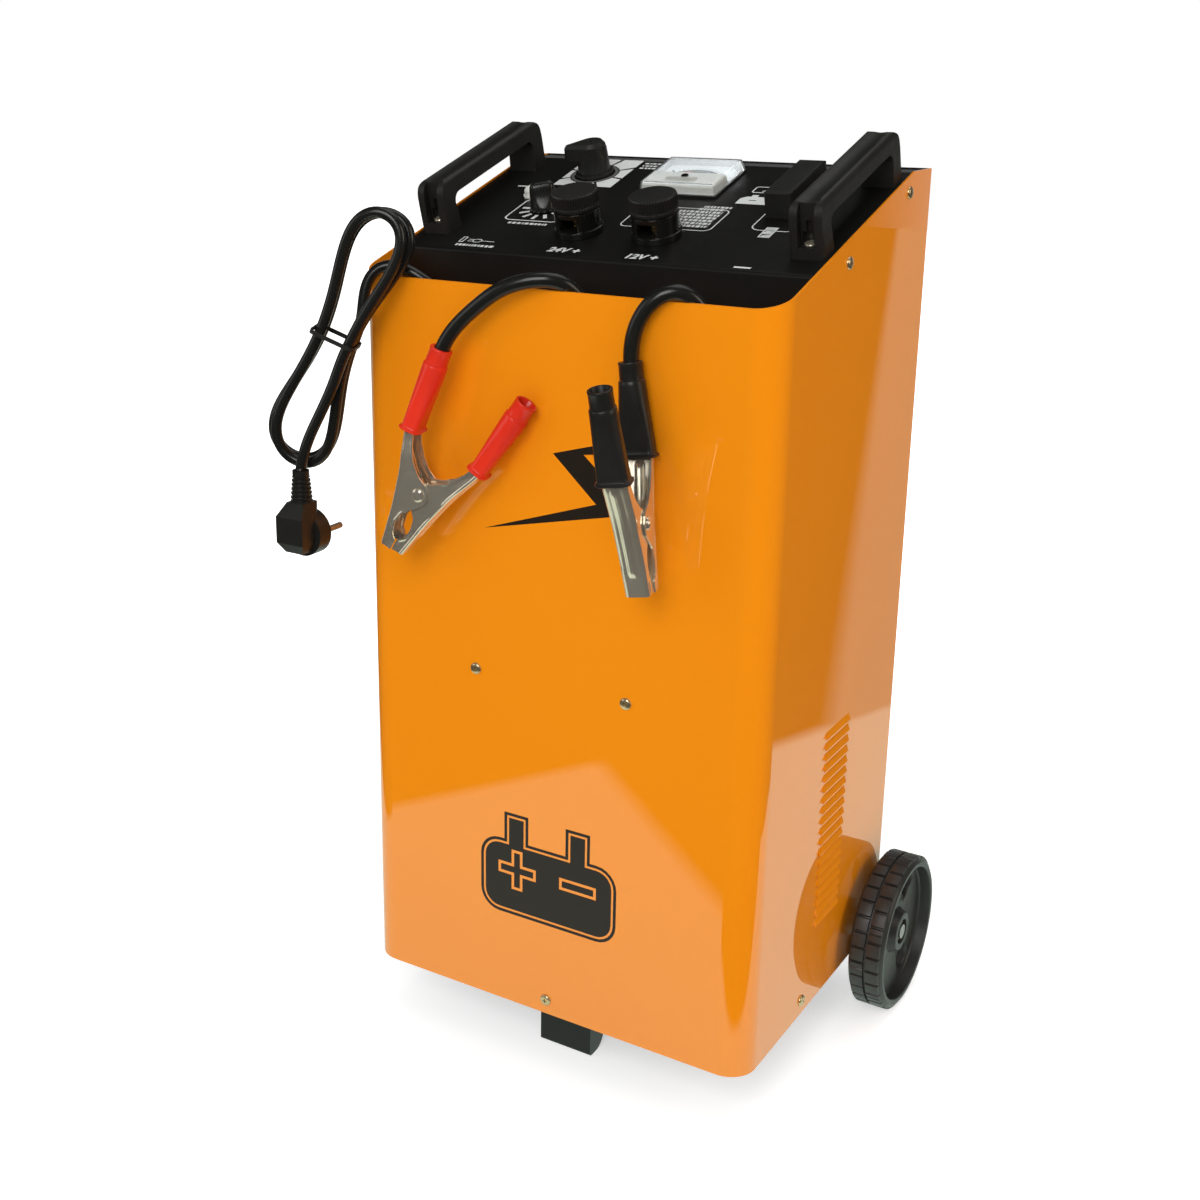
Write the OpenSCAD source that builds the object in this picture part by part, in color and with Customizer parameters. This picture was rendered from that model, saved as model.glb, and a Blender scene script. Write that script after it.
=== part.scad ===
// Wheeled car battery charger with starting boost: a folded sheet housing with a cable bin,
// a sloped control panel, two wheels, a front foot and two lead clamps.

/* [Housing] */
// Width of the sheet housing
body_w = 336; // [280:1:404]
// Depth of the housing from front to back
body_d = 271; // [226:1:326]
// Height of the front sheet above the housing's bottom edge
front_h = 565; // [471:1:678]
// Slope of the control panel in degrees
slope = 17.2; // [14:0.1:21]
// Depth of the level strip behind the slope
flat_d = 37; // [30:1:45]
// Outside radius of the two front corners
corner_r = 22; // [18:1:27]
// Thickness of the sheet steel
sheet = 1.5; // [1.2:0.1:1.8]
// Depth of the cable bin behind the front sheet
bin_d = 54.5; // [50:0.5:66]
// Height of the bin's floor above the housing's bottom edge
bin_z = 288; // [240:1:346]
// Height of the flanges that the screws hold
flange_h = 26; // [22:1:32]

/* [Louvres] */
// Number of louvres in each side
louvre_n = 19; // [10:1:20]
// Distance from louvre to louvre
louvre_pitch = 8.8; // [8:0.1:10]
// Length of one louvre
louvre_l = 46; // [38:1:55]
// Distance from the front sheet to the louvres
louvre_y = 125; // [104:1:150]
// Height of the lowest louvre
louvre_z = 68; // [60:1:82]
// How far a louvre's lip stands out
louvre_out = 1.8; // [1.5:0.1:2.4]

/* [Wheels] */
// Radius of a wheel over its tread
wheel_r = 65; // [60:0.5:78]
// Width of a wheel
wheel_w = 29; // [24:0.5:35]
// Height of the axle above the housing's bottom edge
axle_z = 16; // [13:0.5:19]
// Distance from the rear edge to the axle
axle_back = 28; // [24:0.5:33]
// Radius of the axle
axle_r = 6; // [5:0.1:7.2]
// Length of the spacer between the housing and a wheel
spacer_l = 9.5; // [8:0.5:12]
// Tread blocks in one row
tread_n = 32; // [20:1:40]
// Depth of the tread grooves
tread_depth = 2.5; // [2:0.1:3]
// Gap between a turning piece and its shaft, on the radius
run_gap = 0.06; // [0.03:0.01:0.09]

/* [Foot] */
// Width of the front foot
foot_w = 46; // [38:1:56]
// Depth of the front foot
foot_d = 22; // [20:0.5:27]
// Distance from the front sheet to the foot
foot_y = 31; // [26:0.5:38]
// Radius of the foot's rear bottom edge
foot_r = 13; // [10:0.5:15]

/* [Panel items] */
// Length of a handle along the panel
handle_l = 151; // [126:1:165]
// Width of a handle
handle_w = 25; // [21:0.5:29]
// Height of a handle
handle_h = 39; // [34:0.5:46]
// Thickness of a handle's grip
grip_t = 13; // [11:0.5:15]
// Distance from the housing's middle to a handle
handle_x = 151; // [126:0.5:152]
// Distance from the panel's front bend to a handle
handle_s = 24; // [20:0.5:29]
// Radius of a terminal's base
post_r = 18.5; // [16:0.1:20]
// Height of a terminal over its cap
post_h = 32; // [29:0.5:38]
// Radius of a terminal's stud
stud_r = 4; // [3.5:0.1:4.8]
// Distance of the terminals from the front bend
post_s = 46; // [40:0.5:50]
// Position of the 24 V terminal across the panel
post_24_x = -36; // [-42:0.5:-30]
// Position of the 12 V terminal across the panel
post_12_x = 28; // [24:0.5:33]
// Width of the meter
meter_w = 64; // [54:0.5:72]
// Depth of the meter along the panel
meter_d = 56; // [48:0.5:60]
// Height of the meter's clear cover
meter_h = 11; // [10:0.5:13]
// Width of the fuse cover
fuse_w = 21; // [20:0.5:24]
// Length of the fuse cover
fuse_l = 69; // [60:0.5:76]
// Height of the fuse cover
fuse_h = 20; // [18:0.5:24]
// Height of the selector knob
selector_h = 27; // [24:0.5:32]
// Reach of the selector knob's pointer from its centre
selector_reach = 22; // [19:0.5:25]

/* [Inside] */
// Width of the transformer core
core_w = 150; // [130:1:175]
// Height of the transformer core
core_h = 125; // [110:1:140]
// Thickness of the transformer's lamination stack
core_t = 80; // [70:1:92]
// Width of the core's outer limbs
limb_w = 25; // [21:0.5:29]

/* [Clamps] */
// Distance from a clamp's rivet to its jaw tip
jaw_l = 49; // [45:0.5:59]
// Width of a clamp's frame channel
clamp_w = 21; // [18.5:0.5:25]
// Thickness of a clamp's sheet
clamp_t = 1.4; // [1.2:0.1:1.7]
// Radius of a clamp's rivet
rivet_r = 3; // [2.5:0.1:3.6]
// Length of a clamp's sleeve
sleeve_l = 64.5; // [60:0.5:78]

/* [Cords] */
// Diameter of the mains lead
mains_cord_d = 8.3; // [7:0.1:8.6]
// Diameter of the charging leads
lead_d = 11; // [9.5:0.1:11.6]

/* [Hidden] */

$fn = 64;
orange = "#f29a1e";
black = "#26272a";
grey = "#4a4c4e";
steel = "#c4c6c8";
brass = "#c9a24a";
red = "#e0352b";
copper = "#b06a3c";
clear = "#dfe6ea";

// ---- Places that several pieces share
floor_gap = wheel_r - axle_z;            // housing bottom above the floor
axle_y = body_d - axle_back;
screw_r = 2;
screw_gap = 0.2;
head_r = 4.6;
head_h = 2.2;
wheel_out_y = axle_y + wheel_r;
mid_y = (wheel_out_y - head_h) / 2;      // the origin lies half way between front and back
slope_y = body_d - flat_d;
rear_h = front_h + slope_y * tan(slope);
inner_w = body_w - 2 * sheet;
panel_drop = 1;                          // panel surface below the edges of the side sheets
panel_z = front_h + bin_d * tan(slope) - panel_drop;
panel_back = body_d - 2 * sheet;
bend_r = 1.5;                            // inside radius of the sheet bends
fascia_h = 62;
bin_screw_x = 64;
bin_screw_z = bin_z - 12;
low_screw_z = 12;
side_screw_y = 107;
side_screws = [[112, 16], [slope_y - 9, 12]];    // y, and depth below the sloped edge
rear_screw_z = [40, rear_h / 2, rear_h - 40];
rear_flange = 16;
foot_screws = [-foot_w / 4, foot_w / 4];
foot_screw_y = foot_y + foot_d / 2;
through = 1;                             // how far a cutting form passes the face it opens
wheel_x = body_w / 2 + spacer_l;         // inner face of a wheel

module place() translate([0, -mid_y, floor_gap]) children();
module on_panel(x, s, h = 0)
    translate([x, bin_d, panel_z]) rotate([slope, 0, 0]) translate([0, s, h]) children();
module both_sides() for (side = [-1, 1]) scale([side, 1, 1]) children();
module bore(l, r) cylinder(l, r = r + screw_gap, $fn = 24);

// ---- Folded sheet: a path of corners becomes a strip of even thickness with round bends
function unit(v) = v / norm(v);
function turn(a, b) = a[0] * b[1] - a[1] * b[0];
function left_of(v) = [-v[1], v[0]];
// One rounded corner at b between a and c
function corner(a, b, c, r, steps) =
    let (u = unit(a - b), v = unit(c - b), half = acos(u * v) / 2,
         centre = b + unit(u + v) * r / sin(half),
         from = b + u * r / tan(half) - centre, to = b + v * r / tan(half) - centre,
         start = atan2(from[1], from[0]), raw = atan2(to[1], to[0]) - start,
         sweep = raw > 180 ? raw - 360 : raw < -180 ? raw + 360 : raw)
    r < 0.01 || norm(u + v) < 0.01 ? [b] : [for (i = [0:steps])
        centre + r * [cos(start + sweep * i / steps), sin(start + sweep * i / steps)]];
function shifted(path, by) = [for (i = [0:len(path) - 1])
    let (last = len(path) - 1,
         d1 = unit(path[max(i, 1)] - path[max(i, 1) - 1]),
         d2 = unit(path[min(i, last - 1) + 1] - path[min(i, last - 1)]),
         n1 = left_of(d1), n2 = left_of(d2))
    path[i] + by * (n1 + n2) / (1 + n1 * n2)];
function side_of(path, by, t, r, steps) =
    let (moved = shifted(path, by), last = len(path) - 1)
    [for (i = [0:last]) each i == 0 || i == last ? [moved[i]] :
        let (left = turn(path[i] - path[i - 1], path[i + 1] - path[i]) > 0)
        corner(moved[i - 1], moved[i], moved[i + 1], r + (left ? t - by : by), steps)];
function reversed(list) = [for (i = [len(list) - 1:-1:0]) list[i]];
function strip(path, t, r, steps = 5) =
    concat(side_of(path, 0, t, r, steps), reversed(side_of(path, t, t, r, steps)));
// A closed outline with all corners rounded by its own radius
function rounded(path, radii, steps = 6) = [for (i = [0:len(path) - 1])
    let (n = len(path))
    each corner(path[(i + n - 1) % n], path[i], path[(i + 1) % n], radii[i], steps)];
// Stand a (y, z) outline up and give it a width along x about the middle
module across(w) rotate([90, 0, 90]) translate([0, 0, -w / 2]) linear_extrude(w) children();

// ---- Cords: a tube swept along a list of points
function direction(path, i) =
    let (last = len(path) - 1) unit(path[min(i + 1, last)] - path[max(i - 1, 0)]);
function carried(normal, along) = unit(normal - (normal * along) * along);
function normals(path, i = 0, before = [0.31, 0.17, 0.93]) =
    i == len(path) ? [] :
    let (now = carried(before, direction(path, i))) concat([now], normals(path, i + 1, now));
module tube(path, d, sides) {
    n = len(path);
    across_n = normals(path);
    rings = [for (i = [0:n - 1]) for (k = [0:sides - 1])
        let (along = direction(path, i), a = across_n[i], b = cross(along, a), turned = 360 * k / sides)
        path[i] + d / 2 * (cos(turned) * a + sin(turned) * b)];
    walls = [for (i = [0:n - 2]) for (k = [0:sides - 1])
        let (p = i * sides + k, q = i * sides + (k + 1) % sides)
        each [[p, q + sides, q], [p, p + sides, q + sides]]];
    polyhedron(rings, concat(walls, [[for (k = [0:sides - 1]) k]],
        [[for (k = [sides - 1:-1:0]) (n - 1) * sides + k]]));
}
// Least distance between stretches of one path that are more than `apart` points from each other
function self_gap(path, d, apart) = min([for (i = [0:len(path) - 1 - apart])
    for (j = [i + apart:len(path) - 1]) norm(path[i] - path[j])]) - d;

// ---- Housing
module wrap_outline(w, d, r) {
    translate([-w / 2, r]) square([w, d - r]);
    translate([r - w / 2, 0]) square([w - 2 * r, d]);
    for (side = [-1, 1]) translate([side * (w / 2 - r), r]) circle(r);
}
module side_profile(w) across(w) polygon([[-through, 0], [body_d + through, 0],
    [body_d + through, rear_h], [slope_y, rear_h], [-through, front_h - through * tan(slope)]]);
louvre_open = 4.4;                       // height of the slot below a louvre's lip
module louvre_hood(z) translate([body_w / 2, louvre_y, z]) rotate([90, 0, 180]) mirror([1, 0, 0])
    linear_extrude(louvre_l) polygon([[-sheet, louvre_open + sheet], [0, louvre_open + sheet],
        [louvre_out, 0.6], [louvre_out, 0], [louvre_out - 1, 0], [-sheet, louvre_open + 0.2]]);
module screw_hole_x(y, z) translate([-body_w / 2 - through, y, z]) rotate([0, 90, 0])
    bore(body_w + 2 * through, screw_r);
module screw_hole_y(x, y, z) translate([x, y + 4 * sheet, z]) rotate([90, 0, 0]) bore(8 * sheet, screw_r);
module front_holes() {
    for (side = [-1, 1]) screw_hole_y(side * bin_screw_x, 0, bin_screw_z);
    screw_hole_y(0, 0, low_screw_z);
}
module side_holes() {
    screw_hole_x(side_screw_y, low_screw_z);
    for (s = side_screws) screw_hole_x(s[0], front_h + s[0] * tan(slope) - s[1]);
}
module rear_holes() for (side = [-1, 1]) for (z = rear_screw_z)
    screw_hole_y(side * (body_w - rear_flange) / 2, body_d, z);
module frame_holes() for (side = [-1, 1]) {
    screw_hole_y(side * inner_w / 4, body_d, low_screw_z);
    screw_hole_y(side * inner_w / 4, body_d, rear_h - low_screw_z);
}
module housing_wrap() color(orange) place() difference() {
    union() {
        intersection() {
            linear_extrude(rear_h) difference() {
                wrap_outline(body_w, body_d, corner_r);
                difference() {
                    translate([0, sheet]) wrap_outline(inner_w, body_d, corner_r - sheet);
                    for (side = [-1, 1]) translate([side * (body_w - rear_flange) / 2, body_d - sheet / 2])
                        square([rear_flange, sheet], center = true);
                }
            }
            side_profile(body_w + 2 * through);
        }
        both_sides() for (i = [0:louvre_n - 1]) louvre_hood(louvre_z + i * louvre_pitch);
    }
    both_sides() for (i = [0:louvre_n - 1])
        translate([body_w / 2 - 2 * sheet, louvre_y + sheet / 2, louvre_z + i * louvre_pitch - 0.6])
        cube([2 * sheet + 0.4, louvre_l - sheet, louvre_open]);
    front_holes();
    side_holes();
    rear_holes();
    axle_hole(0.3);
}
module axle_hole(gap) translate([0, axle_y, axle_z]) rotate([0, 90, 0])
    cylinder(body_w + 2 * through, r = axle_r + gap, center = true);

rear_louvre_l = 90;
rear_louvre_n = 9;
rear_louvre_pitch = 12;
rear_louvre_h = 4;
rear_banks = [0.22, 0.72];               // heights of the louvre banks, as shares of the cover's height
module rear_cover() color(black) place() difference() {
    translate([-inner_w / 2, body_d - 2 * sheet, 0]) cube([inner_w, sheet, rear_h]);
    rear_holes();
    frame_holes();
    for (side = [-1, 1]) for (bank = rear_banks) for (i = [0:rear_louvre_n - 1])
        translate([side * inner_w / 4 - rear_louvre_l / 2, body_d - 3 * sheet,
            rear_h * bank + rear_louvre_pitch * (i - rear_louvre_n / 2)])
        cube([rear_louvre_l, 3 * sheet, rear_louvre_h]);
}

base_front_w = inner_w - 2 * corner_r - 12;
module base_plate() color(black) place() difference() {
    union() {
        translate([0, sheet]) linear_extrude(sheet) wrap_outline(inner_w, body_d - 4 * sheet, corner_r + 3);
        for (y = [sheet, body_d - 3 * sheet]) translate([-base_front_w / 2, y, 0])
            cube([base_front_w, sheet, flange_h]);
        for (side = [-1, 1])
            translate([side * (inner_w - sheet) / 2, (body_d + corner_r) / 2, flange_h / 2 + axle_z / 4])
            cube([sheet, body_d - corner_r - 30, flange_h + axle_z / 2], center = true);
    }
    front_holes();
    side_holes();
    frame_holes();
    axle_hole(0.1);
    for (x = foot_screws) translate([x, foot_screw_y, -through]) bore(4 * sheet, screw_r);
}

foot_toe_r = 2.5;                        // radius of the foot's front bottom edge
foot_screw_l = 10;
module front_foot() color(black) place() difference() {
    across(foot_w) polygon(rounded([[foot_y, 0], [foot_y + foot_d, 0], [foot_y + foot_d, -floor_gap],
        [foot_y, -floor_gap]], [0, 0, foot_r, foot_toe_r], 8));
    for (x = foot_screws) translate([x, foot_screw_y, -foot_screw_l]) bore(foot_screw_l + through, screw_r);
}

// ---- Control panel
meter_x = 7.5;
meter_s = 119 + meter_d / 2;
fuse_x = 103;
fuse_s = 89;
fuse_stud_r = 2.5;
fuse_studs = [14, fuse_l - 14];
selector_x = -84;
selector_s = 157;
start_x = -87;
start_s = 82;
lamp_x = -113;
lamp_s = 107;
lamp_r = 6;
lamp_barrel_r = 4.5;
spindle_r = 3;
bush_r = 5;
barrel_r = 24;
gland_x = -95;
gland_z = 545;
gland_r = 7.5;
negative_x = 111;
negative_z = 535;
negative_r = 11;
handle_screw_in = 9;
rear_lip = 22;
panel_path = [[bin_d, panel_z - fascia_h], [bin_d, panel_z], [slope_y, rear_h - panel_drop],
    [panel_back, rear_h - panel_drop], [panel_back, rear_h - panel_drop - rear_lip]];
flange_inset = 2;                        // the panel's side flanges stand back from its edges by this
module panel_hole(x, s, r) on_panel(x, s, -4 * sheet) cylinder(6 * sheet, r = r, $fn = 40);
module handle_holes() for (side = [-1, 1]) for (end = [handle_screw_in, handle_l - handle_screw_in])
    panel_hole(side * handle_x, handle_s + end, screw_r + screw_gap);
module fascia_hole(x, z, r) translate([x, bin_d - 2 * through, z]) rotate([-90, 0, 0])
    cylinder(4 * sheet + 4 * through, r = r, $fn = 40);
module control_panel() color(black) place() difference() {
    union() {
        across(inner_w) polygon(strip(reversed(panel_path), sheet, bend_r));
        both_sides() translate([(inner_w - sheet) / 2, 0, 0]) across(sheet) polygon([
            [bin_d, panel_z - flange_h - flange_inset],
            [bin_d, panel_z - 1.5 * flange_inset],
            [bin_d + 1.5 * flange_inset, panel_z - flange_inset / 2],
            [slope_y, rear_h - panel_drop - flange_inset / 2],
            [panel_back - flange_inset / 2, rear_h - panel_drop - flange_inset / 2],
            [panel_back - flange_inset / 2, rear_h - flange_h - flange_inset],
            [slope_y, rear_h - flange_h - flange_inset]]);
    }
    side_holes();
    frame_holes();
    handle_holes();
    panel_hole(post_24_x, post_s, stud_r + 2);
    panel_hole(post_12_x, post_s, stud_r + 2);
    panel_hole(selector_x, selector_s, bush_r + 0.2);
    panel_hole(start_x, start_s, bush_r + 0.2);
    panel_hole(lamp_x, lamp_s, lamp_barrel_r + 0.2);
    panel_hole(meter_x, meter_s, barrel_r + 0.3);
    for (s = fuse_studs) panel_hole(fuse_x, fuse_s + s, fuse_stud_r + 1.5);
    fascia_hole(gland_x, gland_z, gland_r + 0.2);
    fascia_hole(negative_x, negative_z, negative_r + 0.2);
}

bin_lap = 30;                            // height over which bin and fascia lie on each other
bin_path = [[bin_d + sheet, panel_z - fascia_h + bin_lap], [bin_d + sheet, bin_z - sheet],
    [sheet, bin_z - sheet], [sheet, bin_z - flange_h]];
module cable_bin() color(black) place() difference() {
    across(inner_w) polygon(strip(bin_path, sheet, bend_r));
    for (side = [-1, 1]) translate([side * (inner_w / 2), 0, bin_z]) rotate([0, 0, 45])
        cube([1.5 * corner_r, 1.5 * corner_r, 6 * flange_h], center = true);
    front_holes();
    fascia_hole(gland_x, gland_z, gland_r + 0.2);
    fascia_hole(negative_x, negative_z, negative_r + 0.2);
}

// ---- Handles: side outline, end outline and plan outline meet in one moulded form
leg_t = 17;
channel_w = 12;
channel_d = 8;
screw_seat_z = 8;                        // height of the handle's screw heads above the panel
dish_r = 17;
dish_depth = 1.8;
side_r = 11;
inner_r = 7;
module handle_side() difference() {
    polygon(rounded([[0, 0], [handle_l, 0], [handle_l - 3, handle_h], [3, handle_h]],
        [0, 0, side_r, side_r]));
    polygon(rounded([[leg_t + 2, -through], [leg_t - 1, handle_h - grip_t],
        [handle_l - leg_t + 1, handle_h - grip_t], [handle_l - leg_t - 2, -through]],
            [0, inner_r, inner_r, 0]));
}
module handle_end_view() polygon(rounded([[-handle_w / 2, -through], [handle_w / 2, -through],
    [handle_w / 2 - 1, handle_h], [1 - handle_w / 2, handle_h]], [0, 0, 5, 5]));
module handle_plan() polygon(rounded([[-handle_w / 2, 0], [handle_w / 2, 0], [handle_w / 2, handle_l],
    [-handle_w / 2, handle_l]], [4, 4, 4, 4]));
module handle() difference() {
    intersection() {
        across(handle_w + 2) handle_side();
        translate([0, handle_l + through, 0]) rotate([90, 0, 0]) linear_extrude(handle_l + 2 * through)
            handle_end_view();
        translate([0, 0, -through]) linear_extrude(handle_h + 2 * through) handle_plan();
    }
    translate([0, -through, handle_h + dish_r - dish_depth]) rotate([-90, 0, 0])
        cylinder(handle_l + 2 * through, r = dish_r);
    for (end = [0, 1]) translate([0, end * handle_l, 0]) mirror([0, end, 0]) {
        translate([-channel_w / 2, -through, screw_seat_z]) cube([channel_w, channel_d + through, handle_h]);
        translate([0, handle_screw_in, -through]) bore(handle_h - grip_t, screw_r);
        translate([0, handle_screw_in, screw_seat_z]) cylinder(channel_d + 1, r = head_r + 0.5, $fn = 32);
    }
}
module left_handle() color(black) place() on_panel(-handle_x, handle_s) handle();
module right_handle() color(black) place() on_panel(handle_x, handle_s) handle();

// ---- Screws: the head stands on +z, the shank runs down
case_screw_l = 8;
head_edge = 0.6;
module screw(l) {
    rotate_extrude($fn = 32) polygon(concat([[0, 0], [head_r, 0], [head_r, head_edge]],
        [for (i = [1:5]) [head_r * cos(18 * i), head_edge + (head_h - head_edge) * sin(18 * i)]],
            [[0, head_h]]));
    translate([0, 0, -l]) cylinder(l, r = screw_r, $fn = 24);
}
module handle_screws() color(steel) place()
    for (side = [-1, 1]) for (end = [handle_screw_in, handle_l - handle_screw_in])
    on_panel(side * handle_x, handle_s + end, screw_seat_z) screw(screw_seat_z + 3 * sheet);
module case_screws() color(steel) place() {
    for (side = [-1, 1]) translate([side * bin_screw_x, 0, bin_screw_z]) rotate([90, 0, 0])
        screw(case_screw_l);
    translate([0, 0, low_screw_z]) rotate([90, 0, 0]) screw(case_screw_l);
    both_sides() {
        translate([body_w / 2, side_screw_y, low_screw_z]) rotate([0, 90, 0]) screw(case_screw_l);
        for (s = side_screws) translate([body_w / 2, s[0], front_h + s[0] * tan(slope) - s[1]])
            rotate([0, 90, 0]) screw(case_screw_l);
        for (z = rear_screw_z) translate([(body_w - rear_flange) / 2, body_d, z]) rotate([-90, 0, 0])
            screw(case_screw_l);
        for (z = [low_screw_z, rear_h - low_screw_z]) translate([inner_w / 4, body_d - sheet, z])
            rotate([-90, 0, 0]) screw(case_screw_l);
    }
    for (x = foot_screws) translate([x, foot_screw_y, sheet]) screw(foot_screw_l);
}

// ---- Rotary switches and their knobs
spindle_in = 16;                         // length of a knob's spindle below the panel
bush_out = 3;
knob_lift = 0.5;
knob_solid = 4;                          // height of the bush's recess in a knob
selector_box = [44, 40];                 // width and depth of a switch's body
start_box = [26, 26];
module switch_body(w, h) difference() {
    union() {
        translate([-w / 2, -w / 2, -sheet - h]) cube([w, w, h]);
        translate([0, 0, -sheet]) cylinder(sheet + bush_out, r = bush_r, $fn = 40);
    }
    translate([0, 0, -sheet - h + 3]) cylinder(h + 2 * bush_out, r = spindle_r + run_gap, $fn = 40);
}
module selector_switch() color(grey) place() on_panel(selector_x, selector_s)
    switch_body(selector_box[0], selector_box[1]);
module start_switch() color(grey) place() on_panel(start_x, start_s) switch_body(start_box[0], start_box[1]);
module spindle() translate([0, 0, -spindle_in]) cylinder(spindle_in + knob_solid, r = spindle_r, $fn = 40);
module bush_recess() translate([0, 0, -through]) difference() {
    cylinder(knob_lift + knob_solid, r = bush_r + 0.5, $fn = 40);
    cylinder(knob_lift + knob_solid, r = spindle_r, $fn = 40);
}
selector_turn = 20;
selector_r = 12;
selector_skirt_r = 15;
nose_r = 4;
module selector_knob() color(black) place() on_panel(selector_x, selector_s) difference() {
    union() {
        translate([0, 0, knob_lift]) cylinder(2.5, r = selector_skirt_r, $fn = 48);
        translate([0, 0, knob_lift + 2])
            cylinder(selector_h - 8, r1 = selector_r + 1, r2 = selector_r, $fn = 48);
        hull() {
            translate([0, 0, selector_h / 2])
                cylinder(selector_h / 2 - 3, r1 = selector_r, r2 = selector_r - 0.6, $fn = 32);
            translate([0, 0, selector_h - 3])
                cylinder(3, r1 = selector_r - 0.6, r2 = selector_r - 3, $fn = 32);
            rotate([0, 0, selector_turn]) translate([nose_r - 0.5 - selector_reach, 0, selector_h / 2]) {
                cylinder(selector_h / 2 - 4, r1 = nose_r, r2 = nose_r - 0.6, $fn = 32);
                translate([0, 0, selector_h / 2 - 4]) cylinder(2.5, r1 = nose_r - 0.6, r2 = 1.6, $fn = 32);
            }
        }
        spindle();
    }
    bush_recess();
    translate([0, 0, selector_h - 5]) cylinder(5 + through, r = 1.5, $fn = 24);
}
start_turn = 35;
start_h = 21;
start_wing = 7.5;                        // half the length of the wing between its end rounds
module start_knob() color(black) place() on_panel(start_x, start_s) rotate([0, 0, start_turn]) difference() {
    union() {
        translate([0, 0, knob_lift]) cylinder(7, r1 = 9, r2 = 8, $fn = 40);
        hull() for (side = [-1, 1]) {
            translate([side * start_wing, 0, knob_lift + 4]) cylinder(8, r = 3, $fn = 24);
            translate([side * (start_wing - 1), 0, start_h - 3]) sphere(2.6, $fn = 24);
        }
        spindle();
    }
    bush_recess();
}
lamp_rim = 1;
lamp_dome = 4.5;
lamp_in = 14;
module pilot_lamp() color(clear) place() on_panel(lamp_x, lamp_s) {
    rotate_extrude($fn = 40) polygon(concat([[0, 0], [lamp_r + lamp_rim, 0], [lamp_r + lamp_rim, 1.5],
        [lamp_r, 1.5]],
        [for (i = [0:6]) [lamp_r * cos(15 * i), 4 + lamp_dome * sin(15 * i)]]));
    translate([0, 0, -lamp_in]) cylinder(lamp_in, r = lamp_barrel_r, $fn = 40);
}

// ---- Terminals
cap_h = 13;
cap_z = post_h - cap_h;
cap_gap = 0.3;
window_w = 15;
window_h = 9.5;
window_z = 5.5;
stud_in = 24;                            // length of a stud below the panel
nut_h = 5;
module terminal_bases() color(black) place() for (x = [post_24_x, post_12_x]) on_panel(x, post_s)
    difference() {
    union() {
        cylinder(nut_h, r = post_r);
        cylinder(cap_z - cap_gap, r = post_r - 1.2);
        translate([0, 0, -6]) cylinder(6, r = stud_r + 1.8, $fn = 40);
    }
    translate([0, 0, -7]) cylinder(post_h, r = stud_r + 0.05, $fn = 40);
    translate([-window_w / 2, -post_r - through, window_z]) cube([window_w, post_r + through, window_h]);
    translate([0, 0, window_z]) cylinder(window_h, r = window_w / 2, $fn = 48);
}
module terminal_studs() color(brass) place() for (x = [post_24_x, post_12_x]) on_panel(x, post_s) {
    translate([0, 0, -stud_in]) cylinder(stud_in + post_h - 4, r = stud_r, $fn = 40);
    translate([0, 0, -11]) cylinder(nut_h, r = stud_r + 3.5, $fn = 6);
}
knurl_n = 36;
knurl_depth = 0.6;
cap_edge = 1.6;                          // height and width of the bevels at a cap's top and foot
knurl_steps = [0, 0.2, 0.5, 0.7];        // foot, crest, crest and foot of one knurl, as shares of its pitch
module terminal_cap() difference() {
    union() {
        translate([0, 0, cap_z + cap_edge]) linear_extrude(cap_h - 2 * cap_edge)
            polygon([for (i = [0:knurl_n - 1]) for (k = [0:3])
            let (a = 360 * (i + knurl_steps[k]) / knurl_n, foot = k == 0 || k == 3,
                r = post_r - 1 - (foot ? knurl_depth : 0)) r * [cos(a), sin(a)]]);
        translate([0, 0, cap_z])
            cylinder(cap_h - cap_edge, r1 = post_r - cap_edge - 1, r2 = post_r - cap_edge);
        translate([0, 0, cap_z + cap_h - cap_edge])
            cylinder(cap_edge, r1 = post_r - cap_edge, r2 = post_r - 2 * cap_edge + 0.2);
    }
    translate([0, 0, cap_z - through]) cylinder(cap_h - 2, r = stud_r + run_gap, $fn = 40);
}
module terminal_cap_24v() color(black) place() on_panel(post_24_x, post_s) terminal_cap();
module terminal_cap_12v() color(black) place() on_panel(post_12_x, post_s) terminal_cap();

// ---- Meter
dial_z = 4;
pivot_s = -12;
meter_foot = 2;                          // thickness of the meter's flange
meter_in = 32;                           // length of the meter's barrel below the panel
cover_wall = 2;
cover_step = 12;                         // depth of the cover's lower front part
dial_front = 16;
pointer_turn = 45;
pointer_l = meter_d - 27;
module meter_box(inset, front, z, h) translate([inset - meter_w / 2, front - meter_d / 2, z])
    cube([meter_w - 2 * inset, meter_d - front - inset, h]);
module meter_case() color(black) place() on_panel(meter_x, meter_s) {
    difference() {
        meter_box(0, 0, 0, meter_foot);
        translate([0, 0, -through]) cylinder(meter_foot + 2 * through, r = barrel_r - 2, $fn = 48);
    }
    translate([0, 0, -meter_in]) cylinder(meter_in + meter_foot, r = barrel_r, $fn = 48);
}
module meter_dial() color("white") place() on_panel(meter_x, meter_s)
    meter_box(3.5, dial_front, meter_foot, dial_z - meter_foot);
module meter_pointer() color("black") place() on_panel(meter_x, meter_s + pivot_s, dial_z + 0.6)
    rotate([0, 0, pointer_turn]) {
        cylinder(1.4, r = 2.6, $fn = 32);
        translate([-0.5, 0, 0.3]) cube([1, pointer_l, 0.8]);
    }
module meter_cover() color(clear) place() on_panel(meter_x, meter_s) difference() {
    union() {
        meter_box(0, 0, meter_foot, meter_h - 4);
        meter_box(1, cover_step, meter_foot, meter_h - meter_foot);
    }
    meter_box(cover_wall, cover_wall, meter_foot - through, meter_h - 5);
    meter_box(cover_wall + 1, cover_step + cover_wall, meter_foot - through, meter_h - 3);
}

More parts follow.
